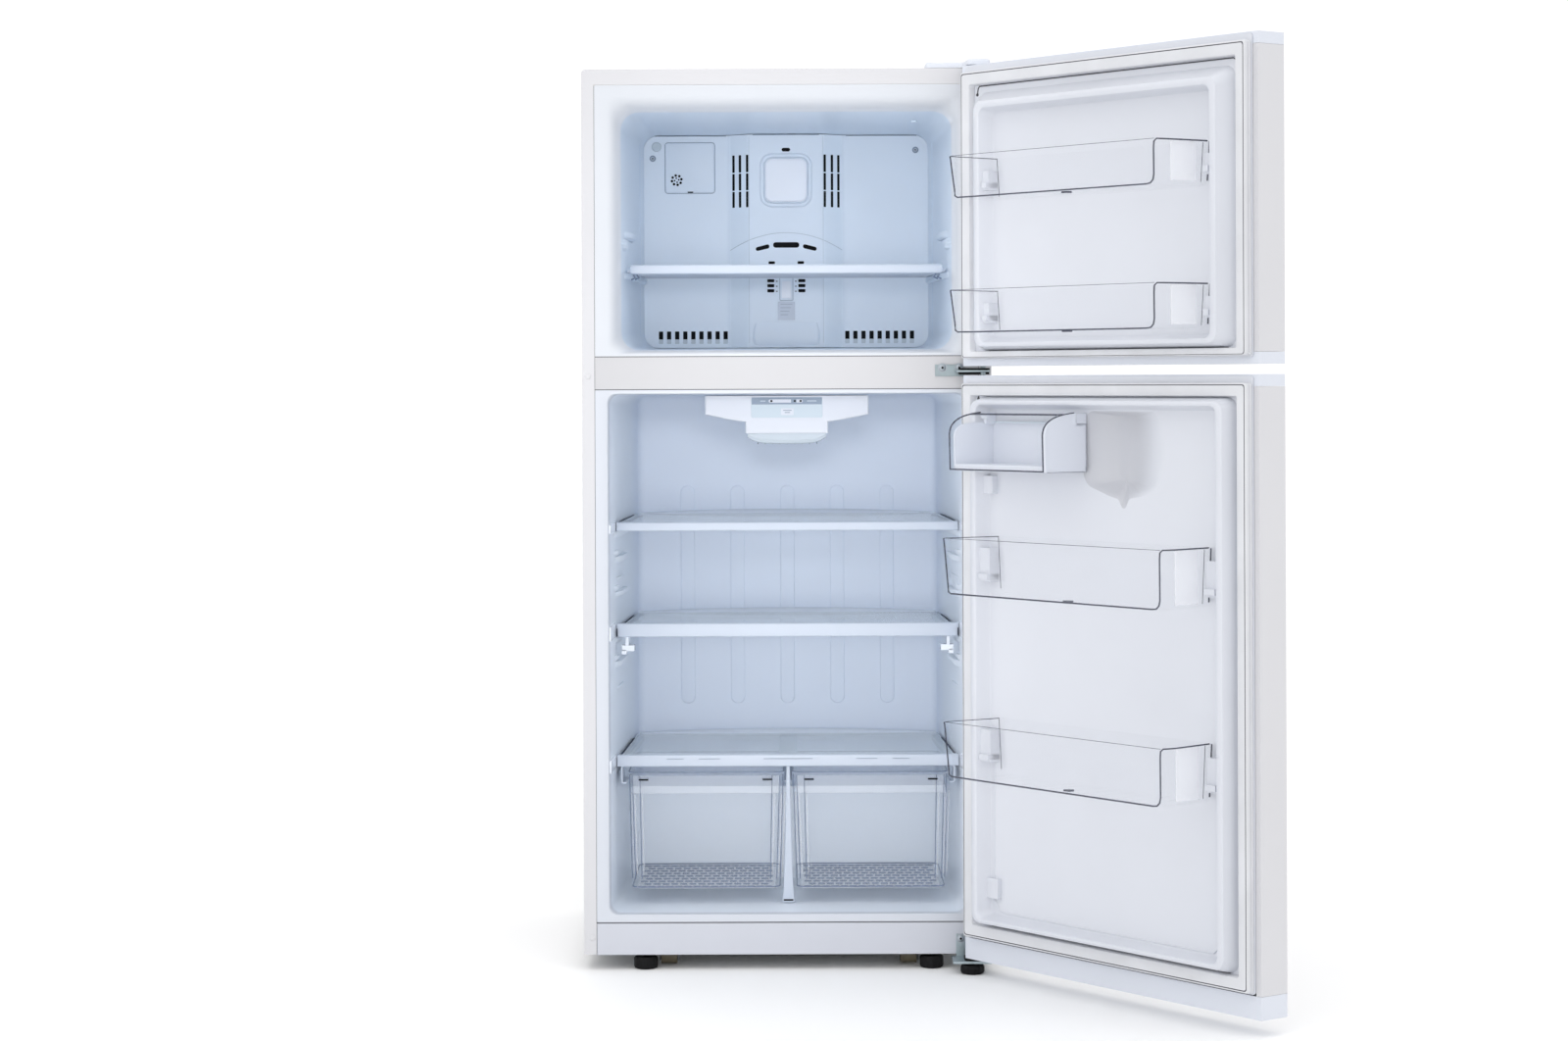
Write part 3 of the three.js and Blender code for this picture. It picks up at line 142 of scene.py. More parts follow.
class Sketch:
    """Collects closed solids; build() turns them into one object."""

    def __init__(self, place=cabinet):
        self.place = place
        self.points = []
        self.faces = []
        self.slots = []

    def add(self, points, faces, slot=0):
        base = len(self.points)
        self.points += [self.place(*p) for p in points]
        self.faces += [[base + i for i in face] for face in faces]
        self.slots += [slot] * len(faces)

    def loft(self, rings, slot=0, loop=False):
        """Skins rings with equal point counts; slot may be a list, one per band."""
        n = len(rings[0])
        bands = len(rings) if loop else len(rings) - 1
        points = [p for ring in rings for p in ring]
        slots = slot if isinstance(slot, list) else [slot] * bands
        first = len(self.points)
        self.add(points, [])
        for r in range(bands):
            a = first + r * n
            b = first + ((r + 1) % len(rings)) * n
            for k in range(n):
                m = (k + 1) % n
                self.faces.append([a + k, a + m, b + m, b + k])
                self.slots.append(slots[r])
        if not loop:
            last = first + (len(rings) - 1) * n
            self.faces.append([first + k for k in range(n)])
            self.faces.append([last + k for k in reversed(range(n))])
            self.slots += [slots[0], slots[-1]]
        return self

    def block(self, x, y, z, slot=0):
        ring = rectangle(x, y)
        return self.loft([[(u, v, w) for u, v in ring] for w in z], slot)

    def pair(self, x, y, z, slot=0):
        """A block on each side of the centre line."""
        self.block(x, y, z, slot)
        return self.block((-x[1], -x[0]), y, z, slot)

    def prism(self, outline, axis, span, slot=0):
        """Extrudes an outline: axis x takes (y, z) points, y takes (x, z), z takes (x, y)."""
        return self.loft([[ALONG[axis](u, v, w) for u, v in outline] for w in span], slot)

    def lathe(self, profile, centre, axis="z", sides=40, slot=0):
        """Turns (radius, height) points about an axis through centre."""
        rings = []
        for radius, height in profile:
            ring = [ALONG[axis](u, v, height) for u, v in circle(max(radius, 0.01), sides)]
            rings.append([tuple(a + b for a, b in zip(centre, spot)) for spot in ring])
        return self.loft(rings, slot)

    def tube(self, path, radius, slot=0, sides=8):
        """A round bead along a path of points."""
        spots = [Vector(p) for p in path]
        rings = []
        # near upright, but along none of the object's own edges
        up = Vector((0.13, 0.21, 0.97))
        for i, spot in enumerate(spots):
            ahead = spots[min(i + 1, len(spots) - 1)] - spots[max(i - 1, 0)]
            ahead.normalize()
            side = ahead.cross(up)
            if side.length < 0.2:
                side = ahead.cross(Vector((1, 0, 0)))
            side.normalize()
            over = side.cross(ahead).normalized()
            rings.append([spot + side * u + over * v for u, v in circle(radius, sides)])
        return self.loft(rings, slot)

    def hoop(self, ring, radius, slot=0, sides=8):
        """A round bead along a closed outline."""
        return self.tube(ring + ring[:1], radius, slot, sides)

    def build(self, name, materials, bevel=0.0, segments=2, angle=32):
        """One object; `bevel` rounds its edges, and edges over `angle` degrees stay sharp."""
        mesh = bpy.data.meshes.new(name)
        mesh.from_pydata(self.points, [], self.faces)
        mesh.polygons.foreach_set("material_index", self.slots)
        for m in materials:
            mesh.materials.append(m)
        bm = bmesh.new()
        bm.from_mesh(mesh)
        bmesh.ops.recalc_face_normals(bm, faces=bm.faces)
        bm.to_mesh(mesh)
        bm.free()
        obj = bpy.data.objects.new(name, mesh)
        bpy.context.scene.collection.objects.link(obj)
        smooth(obj, angle)
        if bevel:
            soften(obj, bevel, segments)
        return obj


def smooth(obj, angle=32):
    obj.data.shade_smooth()
    obj.data.set_sharp_from_angle(angle=math.radians(angle))


def soften(obj, width, segments=2):
    """Rounds sharp edges by `width` millimetres."""
    mod = obj.modifiers.new("soft_edges", "BEVEL")
    mod.width = width * MM
    mod.segments = segments
    mod.limit_method = "ANGLE"
    mod.angle_limit = math.radians(35)
    mod.harden_normals = True


def carve(obj, *cutters):
    """Cuts each cutter out of obj and removes the cutters."""
    for cutter in cutters:
        mod = obj.modifiers.new("cut", "BOOLEAN")
        mod.operation = "DIFFERENCE"
        mod.solver = "EXACT"
        mod.object = cutter
        graph = bpy.context.evaluated_depsgraph_get()
        cut = bpy.data.meshes.new_from_object(obj.evaluated_get(graph))
        obj.modifiers.clear()
        obj.data = cut
        bpy.data.objects.remove(cutter)
    smooth(obj)


# ---------- materials ----------

def feed(shader_node, **inputs):
    """Sets a node's inputs, each from a number, a colour or the socket that drives it."""
    for name, value in inputs.items():
        socket = shader_node.inputs[name.replace("_", " ")]
        if isinstance(value, bpy.types.NodeSocket):
            shader_node.id_data.links.new(value, socket)
        else:
            socket.default_value = value


def add_node(tree, kind, settings=(), **inputs):
    made = tree.nodes.new("ShaderNode" + kind)
    for name, value in dict(settings).items():
        setattr(made, name, value)
    feed(made, **inputs)
    return made


def finish(name, color, roughness, metallic=0.0, vary=0.02, spots=5.0, grain=700.0, bump=0.03,
           depth=(), clear=None, **sockets):
    """A moulded, painted or metal finish. `vary` is how far its colour drifts and `spots` how
    closely, `grain` the fineness of its surface and `bump` how deep that is. `depth` lists
    (colour, y0, y1): each a colour it turns to between two distances behind the flange, which is
    light and shade painted into the colour. `clear` is its opacity seen face-on and edge-on."""
    m = bpy.data.materials.new(name)
    m.use_nodes = True
    tree = m.node_tree
    place = add_node(tree, "TexCoord").outputs["Object"]
    drift = add_node(tree, "TexNoise", Scale=spots, Detail=3, Vector=place).outputs["Fac"]
    ramp = add_node(tree, "ValToRGB", Fac=drift)
    for stop, at, share in zip(ramp.color_ramp.elements, (0.3, 0.7), (1 - vary, 1 + vary)):
        stop.position = at
        stop.color = (*[min(1, c * share) for c in color], 1)
    tint = ramp.outputs["Color"]
    for deep, y0, y1 in depth:
        back = add_node(tree, "SeparateXYZ", Vector=place).outputs["Y"]
        far = add_node(tree, "MapRange", {"interpolation_type": "SMOOTHSTEP"},
                       From_Min=ORIGIN.y + y0 * MM, From_Max=ORIGIN.y + y1 * MM, Value=back)
        blend = add_node(tree, "Mix", {"data_type": "RGBA"},
                         A=tint, B=(*deep, 1), Factor=far.outputs["Result"])
        tint = blend.outputs["Result"]
    rough = add_node(tree, "MapRange", Value=drift,
                     To_Min=max(0.02, roughness - 0.06), To_Max=min(1, roughness + 0.06))
    shader = tree.nodes["Principled BSDF"]
    feed(shader, Metallic=metallic, Base_Color=tint, Roughness=rough.outputs["Result"], **sockets)
    if bump:
        fine = add_node(tree, "TexNoise", Scale=grain, Detail=2, Vector=place).outputs["Fac"]
        relief = add_node(tree, "Bump", Strength=bump, Distance=MM, Height=fine)
        feed(shader, Normal=relief.outputs["Normal"])
    if clear:
        facing = add_node(tree, "LayerWeight", Blend=0.35).outputs["Facing"]
        film = add_node(tree, "MapRange", Value=facing, To_Min=clear[0], To_Max=clear[1])
        feed(shader, Alpha=film.outputs["Result"])
    return m


WHITE_STEEL = finish(
    "white_enamel", (0.62, 0.62, 0.645), 0.36, vary=0.012, grain=900, bump=0.05, Coat_Weight=0.15,
)
GRILLE = finish("grille_moulding", (0.56, 0.58, 0.64), 0.38, vary=0.015, grain=1300, bump=0.04)
DIVIDER = finish("divider_enamel", (0.54, 0.54, 0.56), 0.36, vary=0.012, grain=900, bump=0.05)
WHITE_PLASTIC = finish("white_moulding", (0.66, 0.69, 0.76), 0.38, vary=0.015, grain=1300, bump=0.04)
# Painted light: the wall turns paler over the rounded throat to offset the shade there, then blue from the
# throat back, painting the inside lamp's bluish light.
FREEZER_LINER = finish(
    "freezer_wall", (0.62, 0.645, 0.69), 0.32, vary=0.015, grain=260,
    depth=[((0.80, 0.82, 0.86), 10, 42), ((0.74, 0.83, 0.94), 46, 51)],
)
# Painted light: the wall turns pale blue behind the throat, painting the inside lamp's bluish light, then a
# little darker towards the back wall as painted shade.
FRIDGE_LINER = finish(
    "refrigerator_wall", (0.60, 0.63, 0.69), 0.32, vary=0.015, grain=260,
    depth=[((0.86, 0.92, 1.0), 6, 30), ((0.80, 0.87, 0.99), 420, 610)],
)
COVER_PLASTIC = finish("freezer_panel", (0.75, 0.83, 0.93), 0.36, vary=0.03, spots=4, grain=500)
# a paler copy of the panel's colour for the duct's sloping sides: painted light
COVER_SLOPE_PAINTED_LIGHT = finish("freezer_panel_slope_painted_light", (0.80, 0.885, 0.99), 0.36, vary=0.03, spots=4, grain=500)
DOOR_LINER = finish("door_lining", (0.64, 0.66, 0.715), 0.30, spots=3, grain=200, bump=0.025)
# The door liner's colour, turning darker across the hollow: painted shade that makes it read deeper.
RECESS_SHADE = finish(
    "door_recess", (0.64, 0.66, 0.71), 0.3, grain=200, bump=0.02,
    depth=[((0.52, 0.53, 0.57), -470, -390)],
)
GASKET = finish("gasket_grey", (0.66, 0.67, 0.70), 0.6, vary=0.04, spots=14, grain=1500, bump=0.08)
# near black for the gasket's fold: painted shade in the groove
GROOVE_SHADE = finish("gasket_groove_shade", (0.10, 0.10, 0.12), 0.7, vary=0.1, grain=1500, bump=0.05)
CLEAR = finish("clear_wall", (0.66, 0.69, 0.76), 0.08, grain=30, bump=0.02, clear=(0.012, 0.05))
# near black beads along the clear plastic's edges: painted shade where those edges look dark
EDGE_SHADE = finish(
    "clear_edge_shade", (0.06, 0.065, 0.10), 0.15, vary=0.15, spots=20, bump=0.0, clear=(0.8, 0.95),
)
CRISPER_WALL = finish("drawer_wall", (0.74, 0.81, 0.93), 0.08, vary=0.03, grain=20, clear=(0.02, 0.12))
GRIP = finish("drawer_grip", (0.86, 0.90, 0.97), 0.1, vary=0.03, grain=20, bump=0.02, clear=(0.14, 0.3))
# its dark colour on the drawers' outline beads is painted shade at their clear edges
RIB = finish("drawer_rib", (0.20, 0.25, 0.36), 0.3, vary=0.1, bump=0.0, clear=(0.7, 0.9))
SHELF_PLASTIC = finish("shelf_trim", (0.55, 0.61, 0.71), 0.22, grain=900, bump=0.02, Coat_Weight=0.3)
FROSTED = finish(
    "freezer_shelf_clear", (0.72, 0.79, 0.90), 0.3, vary=0.03, grain=900, bump=0.05, clear=(0.55, 0.85),
)
# a paler copy of the shelf trim's plastic for the side rails, rear bar and divider: painted light on parts
# that sit back in shade
RAIL_PAINTED_LIGHT = finish("shelf_rail", (0.82, 0.87, 0.95), 0.25, grain=900, bump=0.02, Coat_Weight=0.3)
GLASS = finish("shelf_glass", (0.84, 0.93, 1.0), 0.05, vary=0.03, bump=0.0, clear=(0.2, 0.5))
TILE = finish("outlet_tile", (0.86, 0.90, 0.98), 0.22, grain=900, bump=0.02, Coat_Weight=0.3)
# a pale half-clear white: painted highlight on the bins' end panes and beside the drawers' uprights
BRIGHT = finish(
    "clear_end", (0.92, 0.93, 0.97), 0.1, grain=60, bump=0.02, clear=(0.35, 0.5), Coat_Weight=0.5,
)
LAMP = finish("lamp_lens", (0.66, 0.74, 0.82), 0.25, vary=0.03, grain=400, bump=0.2, clear=(0.75, 0.95))
ZINC = finish(
    "zinc_plate", (0.38, 0.45, 0.48), 0.34, metallic=0.9, vary=0.08, spots=60, grain=500, bump=0.08,
)
SCREW_STEEL = finish("screw_steel", (0.42, 0.46, 0.50), 0.35, metallic=0.8, vary=0.1, spots=80, bump=0.05)
BLACK = finish(
    "black_moulding", (0.006, 0.006, 0.007), 0.6, vary=0.3, spots=40, grain=900, bump=0.12,
    Specular_IOR_Level=0.15,
)
# near black where slots and holes open into the inside: painted shade
OPENING_SHADE = finish("vent_dark", (0.004, 0.004, 0.005), 0.9, vary=0.3, bump=0.02)
BROWN = finish("roller_nylon", (0.10, 0.085, 0.055), 0.5, vary=0.25, spots=40, grain=800, bump=0.1)
BLACK_STEEL = finish("black_paint", (0.02, 0.02, 0.022), 0.4, vary=0.2, spots=30, grain=600, bump=0.1)
ALUMINIUM = finish("mill_aluminium", (0.72, 0.74, 0.76), 0.35, metallic=1.0, vary=0.05, spots=50, bump=0.05)
GALVANISED = finish(
    "galvanised_sheet", (0.46, 0.48, 0.50), 0.48, metallic=0.5, vary=0.07, spots=110, bump=0.05,
)
FOAM = finish("rigid_foam", (0.80, 0.72, 0.48), 0.9, vary=0.08, spots=60, grain=900, bump=0.5)
PANEL_GREY = finish("panel_grey", (0.27, 0.33, 0.42), 0.4, vary=0.04, grain=900)
PANEL_PALE = finish("panel_pale", (0.55, 0.63, 0.70), 0.4, vary=0.03, grain=900)
# near black strips in the clearances beside the shelves: painted shadow
GAP_SHADOW = finish("shelf_gap_shadow", (0.03, 0.04, 0.07), 0.6, vary=0.2, bump=0.02, Specular_IOR_Level=0.2)
HINGE_BLACK = finish("black_stop", (0.004, 0.004, 0.005), 0.7, vary=0.3, bump=0.05, Specular_IOR_Level=0.15)
SEAM = finish("shadow_seam", (0.07, 0.07, 0.08), 0.8, vary=0.2, bump=0.02)


# ---------- CAD nodes that stay, with better finishes and softened edges ----------

def refine(node, finish_material, width):
    """Gives a CAD node its finish, and rounds its edges by `width` millimetres."""
    obj = frame["nodes"][node]
    obj.data.materials.clear()
    obj.data.materials.append(finish_material)
    weld = obj.modifiers.new("weld", "WELD")
    weld.merge_threshold = 0.02 * MM
    if width:
        soften(obj, width)
    normals = obj.modifiers.new("normals", "WEIGHTED_NORMAL")
    normals.keep_sharp = False


KEPT = (
    (WHITE_STEEL, 1.0, "outer_case upper_door_skin lower_door_skin"),
    (DIVIDER, 0.4, "mullion_cover"),
    (GRILLE, 1.2, "base_grille"),
    (WHITE_PLASTIC, 1.2, "upper_door_top_cap upper_door_bottom_cap lower_door_top_cap"),
    (WHITE_PLASTIC, 1.2, "lower_door_bottom_cap"),
    (GALVANISED, 0.0, "back_panel base_pan machine_room_cover"),
    (GALVANISED, 1.0, "condenser_fan_motor evaporator_fan_motor"),
    (BLACK_STEEL, 1.0, "compressor condenser_coil"),
    (ALUMINIUM, 0.0, "evaporator"),
    (ZINC, 0.6, "top_hinge middle_hinge bottom_hinge"),
    (BLACK, 0.8, "condenser_fan evaporator_fan rear_rollers"),
    (BROWN, 1.0, "front_roller_left front_roller_right"),
    (FOAM, 0.0, "cabinet_insulation upper_door_foam"),
    (GLASS, 0.8, "upper_shelf_glass middle_shelf_glass crisper_cover_glass"),
    (TILE, 0.6, "freezer_slider"),
    (PANEL_GREY, 0.6, "control_slider"),
)
for stuff, width, names in KEPT:
    for node in names.split():
        refine(node, stuff, width)


def place_piece(obj, body, slot, *nodes):
    """Puts a piece on its body, in place of the CAD nodes named last, if any."""
    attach(obj, body)
    if nodes:
        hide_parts(*nodes)


# ---------- cabinet liners ----------

# thickness of the moulded sheet, half the width of the liners' front rim, heights of the shelves
WALL = 2.5
RIM_HALF = 353.7
UPPER_SHELF = 803
MIDDLE_SHELF = 604
CRISPER_COVER = 360
# each section of a compartment is its half width, floor, ceiling and corner radius
FREEZER = dict(
    mouth=(332, 1133, 1610, 16), throat=(307, 1142, 1584, 34), back=(282, 1151, 1576, 28),
    throat_depth=50, depth=605, rim=(1129.9, 1630.7),
)
FRIDGE = dict(
    mouth=(331.5, 101, 1062, 14), throat=(328, 102, 1060, 20), back=(304, 103, 1058, 24),
    throat_depth=24, depth=620, rim=(86.8, 1068.8),
)


def cavity_rings(cavity, grow, steps=9):
    """Sections from mouth to back wall, `grow` millimetres outside the inner surface."""
    rings = []
    for i in range(steps + 1):
        a = i / steps * math.pi / 2
        t = math.sin(a)
        half, low, high, radius = [mix(p, q, t) for p, q in zip(cavity["mouth"], cavity["throat"])]
        out = grow * t
        y = cavity["throat_depth"] * (1 - math.cos(a)) + grow * math.cos(a)
        rings.append(front_ring(half + out, low - out, high + out, radius + out, y))
    half, low, high, radius = cavity["back"]
    fillet = 16
    for i in range(5):
        a = i / 4 * math.pi / 2
        out = grow - fillet * (1 - math.cos(a))
        y = cavity["depth"] + grow - fillet * (1 - math.sin(a))
        rings.append(front_ring(half + out, low - out, high + out, radius + grow, y))
    return rings


def rim_ring(cavity, y):
    return front_ring(RIM_HALF, *cavity["rim"], 2.5, y)


def wall_at(cavity, y):
    """Half the width between the side walls, behind the throat."""
    depth = cavity["depth"] - cavity["throat_depth"]
    return mix(cavity["throat"][0], cavity["back"][0], (y - cavity["throat_depth"]) / depth)


def ledge(sketch, cavity, depth, y, z):
    """A moulded runner on both side walls, between two depths and two heights, which grows out
    of the wall at its front end."""
    soft = min(4, (z[1] - z[0]) / 3)
    ramp = y[0] + min(40, (y[1] - y[0]) * 0.5)
    for s in (1, -1):
        rings = []
        for w, out in ((z[0], soft), (z[0] + soft, 0), (z[1] - 1, 0), (z[1], 1)):
            points = [(y[0], -1), (y[1], -1), (y[1] - out, depth - out), (ramp, depth - out), (y[0], 0.2)]
            rings.append([(s * (wall_at(cavity, v) - u), v, w) for v, u in points])
        sketch.loft(rings)


def freezer_liner():
    s = Sketch()
    outside = cavity_rings(FREEZER, WALL)[::-1]
    s.loft(outside + [rim_ring(FREEZER, WALL), rim_ring(FREEZER, 0)] + cavity_rings(FREEZER, 0))
    for depth, y, z in (
        (9, (115, 500), (1277, 1288.6)), (9, (115, 260), (1352, 1366)), (6, (70, 128), (1330, 1350)),
        (5, (60, 100), (1338, 1344)), (2, (430, 436), (1160, 1560)),
    ):
        ledge(s, FREEZER, depth, y, z)
    # a plug in the ceiling
    s.lathe([(6, -2.5), (6, 0), (4.6, 1), (0, 1)], (244, 179, 1577), "z", 24)
    return s.build("freezer_lining", [FREEZER_LINER], bevel=0.8)


def fridge_liner():
    """Its floor steps up at the rear, over the machine room."""
    outside = cavity_rings(FRIDGE, WALL)[::-1]
    body = Sketch().loft(outside + [rim_ring(FRIDGE, WALL), rim_ring(FRIDGE, 0)])
    shell = body.build("refrigerator_lining", [FRIDGE_LINER])
    mouth = front_ring(*FRIDGE["mouth"], -1)
    cavity = Sketch().loft([mouth] + cavity_rings(FRIDGE, 0)).build("cavity", [FRIDGE_LINER])

    def step(shrink):
        plan = [(428 + shrink, 60), (452 + shrink, 282 - shrink), (680, 282 - shrink), (680, 60)]
        return Sketch().prism(plan, "x", (-400, 400)).build("step", [FRIDGE_LINER])

    carve(shell, step(WALL))
    carve(cavity, step(0))
    carve(shell, cavity)
    soften(shell, 0.8)
    return shell


def fridge_mouldings():
    """Runners, stops and the raised panels of the back wall."""
    s = Sketch()
    for z, depth in ((UPPER_SHELF, 9), (MIDDLE_SHELF, 9), (CRISPER_COVER, 5)):
        ledge(s, FRIDGE, depth, (118, 560), (z - 12, z - 0.4))
    for z in (742, 676, 545):
        ledge(s, FRIDGE, 9, (122, 300), (z, z + 12))
        ledge(s, FRIDGE, 5, (96, 150), (z + 14, z + 24))
    for z in (706, 500):
        ledge(s, FRIDGE, 4, (150, 260), (z, z + 8))
    for side in (1, -1):
        for z, height in ((UPPER_SHELF, 16), (MIDDLE_SHELF, 27), (CRISPER_COVER, 24)):
            inner = [(326.4, 8), (331, 8), (330, 26), (327, 116), (322.4, 116)]
            s.prism([(side * x, y) for x, y in inner], "z", (z, z + height), 1)
    # five tall panels with round ends
    back = FRIDGE["depth"]
    radius = 13
    low, high = 444, 858
    middle = (low + high) / 2
    for i in range(5):
        x = (i - 2) * 101
        outline = []
        for end, start in ((high, 0), (low, math.pi)):
            for k in range(13):
                a = start + math.pi * k / 12
                outline.append((x + radius * math.cos(a), end + radius * math.sin(a)))
        rings = []
        for scale, y in ((1.12, back + 1), (1.12, back - 0.2), (1.0, back - 2.2), (0.88, back - 2.4)):
            tall = 1 - (1 - scale) * 0.06
            rings.append([(x + (u - x) * scale, y, middle + (v - middle) * tall) for u, v in outline])
        s.loft(rings)
    return s.build("refrigerator_mouldings", [FRIDGE_LINER, TILE], bevel=0.7)


place_piece(freezer_liner(), "cabinet", "liner_plastic", "freezer_liner")
place_piece(fridge_liner(), "cabinet", "liner_plastic", "fridge_liner")
place_piece(fridge_mouldings(), "cabinet", "liner_plastic")


# ---------- freezer rear panel ----------

# how far back the panel's face is at its sides and on its duct
COVER_Y = 530
DUCT_Y = 500
PANEL_HALF = 284.6
# the slots along its foot, on each side
VENTS = 9
VENT_PITCH = 16.2
# (distance from the centre line, rise towards the room)
DUCT_TURN = [(PANEL_HALF, 0), (119, 0), (113, 1.2), (109, 4), (80, 26.5), (75, 29.4), (68, 30), (0, 30)]


def duct_face(x):
    """How far back the panel's face is, at a distance from its centre line."""
    for (x0, rise0), (x1, rise1) in zip(DUCT_TURN, DUCT_TURN[1:]):
        if abs(x) >= x1:
            return COVER_Y - mix(rise1, rise0, (abs(x) - x1) / (x0 - x1))


def cover_section(back):
    """The panel's section in XY, `back` millimetres behind its face."""
    left = [(-x, duct_face(x) + back) for x, _ in DUCT_TURN[:-1]]
    return left + [(-x, y) for x, y in reversed(left)]


def panel_loft(sketch, low, high, back, thick, radius, slot=0):
    """The panel between two heights, with round corners."""
    outline = cover_section(back) + cover_section(back + thick)[::-1]
    steps = 6
    rings = []
    for end, sign in ((low, 1), (high, -1)):
        stack = []
        for i in range(steps + 1):
            a = i / steps * math.pi / 2
            edge = PANEL_HALF - radius * (1 - math.sin(a))
            z = end + sign * radius * (1 - math.cos(a))
            stack.append([(max(-edge, min(edge, x)), y, z) for x, y in outline])
        rings += stack if sign > 0 else stack[::-1]
    sketch.loft(rings, slot)


def evaporator_cover():
    s = Sketch()
    panel_loft(s, 1150.8, 1576, 0, 2.5, 28)
    cover = s.build("freezer_rear_panel", [COVER_PLASTIC, OPENING_SHADE, COVER_SLOPE_PAINTED_LIGHT])
    cut = Sketch()
    reach = (DUCT_Y - 20, COVER_Y + 6)

    def opening(x, half, z, radius, steps):
        cut.prism(rounded(rectangle((x - half, x + half), z), radius, steps), "y", reach)

    for side in (1, -1):
        for z in ((1501, 1536), (1465, 1499), (1431, 1463)):
            for x in (77.5, 92, 105):
                opening(side * x, 2.4, z, 1.2, 3)
        for i in range(VENTS):
            opening(side * (122 + i * VENT_PITCH), 4.3, (1159, 1184), 1, 2)
        for i in range(4):
            opening(side * 31, 7, (1261 + i * 10, 1261 + i * 10 + 6.4), 1.4, 3)
        curved = [(side * x, z) for x, z in ((33, 1358), (60, 1351), (62, 1342.5), (34, 1349))]
        cut.prism(rounded(curved[::side], 3.6, 5), "y", reach)
        opening(side * 29, 6.5, (1317.4, 1323), 1.4, 3)
    opening(0, 26, (1350, 1361), 5, 6)
    opening(0, 8.5, (1542, 1549.5), 3.6, 5)
    carve(cover, cut.build("slots", [COVER_PLASTIC]))
    # the duct's sloping sides get a paler copy of the panel's colour: painted light that offsets their
    # shading
    for face in cover.data.polygons:
        if 0.3 < abs(face.normal.x) < 0.8:
            face.material_index = 2
    soften(cover, 0.4, 1)
    return cover


def panel_relief():
    """Mouldings, screws and a dark sheet behind the slots, painted shade for the space behind them."""
    s = Sketch()
    panel_loft(s, 1158, 1568, 6, 1.5, 26, 1)
    for side in (1, -1):
        for i in range(VENTS):
            x = side * (122 + i * VENT_PITCH)
            s.block((x - 4.2, x + 4.2), (COVER_Y + 1.2, COVER_Y + 2.2), (1159, 1168), 2)
    # the low swelling at the duct's foot, and the arc above the shelf
    rings = []
    for z, half, out in ((1154, 60, 0.5), (1158, 68, 3.4), (1170, 70, 4.6), (1186, 69, 3.6), (1200, 66, 1.2)):
        rear, face = DUCT_Y + 3, DUCT_Y - out
        corners = [(-half, rear), (half, rear), (half - 6, face), (6 - half, face)]
        rings.append(flat_ring(corners, [1, 1, 6, 6], z))
    s.loft(rings)
    across = [k / 20 - 1 for k in range(41)]
    s.tube([(112 * t, duct_face(112 * t), 1380 - 34 * t * t) for t in across], 0.8, 2)
    # fine lines down the duct's sides, and seams along the panel's top
    for side in (1, -1):
        for x, y, low, high in ((112, COVER_Y - 0.3, 1240, 1568), (74, DUCT_Y + 0.6, 1160, 1572)):
            s.tube([(side * x, y, low), (side * x, y, high)], 0.5, 2)
        s.tube([(side * 120, COVER_Y, 1575.2), (side * 262, COVER_Y, 1575.2)], 0.7, 4)
    s.tube([(-66, DUCT_Y, 1575.4), (66, DUCT_Y, 1575.4)], 0.9, 4)
    for x, z in ((-267, 1530.6), (259.6, 1546.3)):
        centre = (x, COVER_Y, z)
        s.lathe([(6.4, 0.4), (6.4, -1.2), (5, -1.6), (4.6, -0.6), (0, -0.6)], centre, "y", 28, 4)
        s.lathe([(3.4, -0.5), (3.4, -1.5), (2.6, -2), (0, -2)], centre, "y", 20, 3)
        s.lathe([(1.5, -1.9), (1.5, -2.3), (0, -2.3)], centre, "y", 12, 1)
    s.lathe([(10, 0.5), (9.6, -1), (8, -2.2), (6, -2), (0, -1.4)], (-259.4, COVER_Y, 1554), "y", 32, 2)
    looks = [COVER_PLASTIC, OPENING_SHADE, PANEL_PALE, SHELF_PLASTIC, PANEL_GREY]
    return s.build("freezer_panel_relief", looks, angle=40)


def air_outlet():
    """A plain tile in a raised surround, each ring being (inset, rise from the duct)."""
    s = Sketch()
    for half, low, high, radius, profile, slot in (
        (52, 1431, 1538, 24, ((0, 0.3), (0, 2), (1.4, 4), (4, 5), (6.5, 4.6), (8, 2), (9, 0.4)), 0),
        (42, 1441, 1528, 15, ((0, 0.3), (0, 4.4), (0.8, 5.8), (2.4, 6.6), (6, 6.9)), 1),
    ):
        s.loft([
            front_ring(half - inset, low + inset, high - inset, max(2, radius - inset), DUCT_Y - rise, 10)
            for inset, rise in profile
        ], slot)
    return s.build("air_outlet_tile", [COVER_PLASTIC, TILE], angle=50)


def access_plate():
    s = Sketch()
    rings = []
    for inset, rise in ((-0.6, 0.2), (-0.6, 1.2), (0, 2.8), (1, 3.4)):
        outline = rounded(rectangle((-241 + inset, -144 - inset), (1462 + inset, 1561 - inset)), 5, 5)
        rings.append([(x, COVER_Y - rise, z) for x, z in outline])
    s.loft(rings)
    edge = rounded(rectangle((-242.2, -142.8), (1460.8, 1562.2)), 6, 5)
    s.hoop([(x, COVER_Y - 0.2, z) for x, z in edge], 0.8, 2)
    # two rings of round holes, and the notch that opens it, each a dark patch on the plate's face: painted
    # shade in the openings
    for ring, count in ((9.6, 8), (4.2, 4)):
        radius = 0.17 * ring + 1
        for i in range(count):
            a = 2 * math.pi * i / count + 0.2
            centre = (-219 + ring * math.cos(a), COVER_Y, 1487 + ring * math.sin(a))
            s.lathe([(0, -3.9), (radius, -3.9), (radius, -3)], centre, "y", 10, 1)
    s.block((-197, -186), (COVER_Y - 3.9, COVER_Y - 3), (1461.5, 1464), 1)
    return s.build("access_plate", [COVER_PLASTIC, OPENING_SHADE, PANEL_GREY], angle=40)


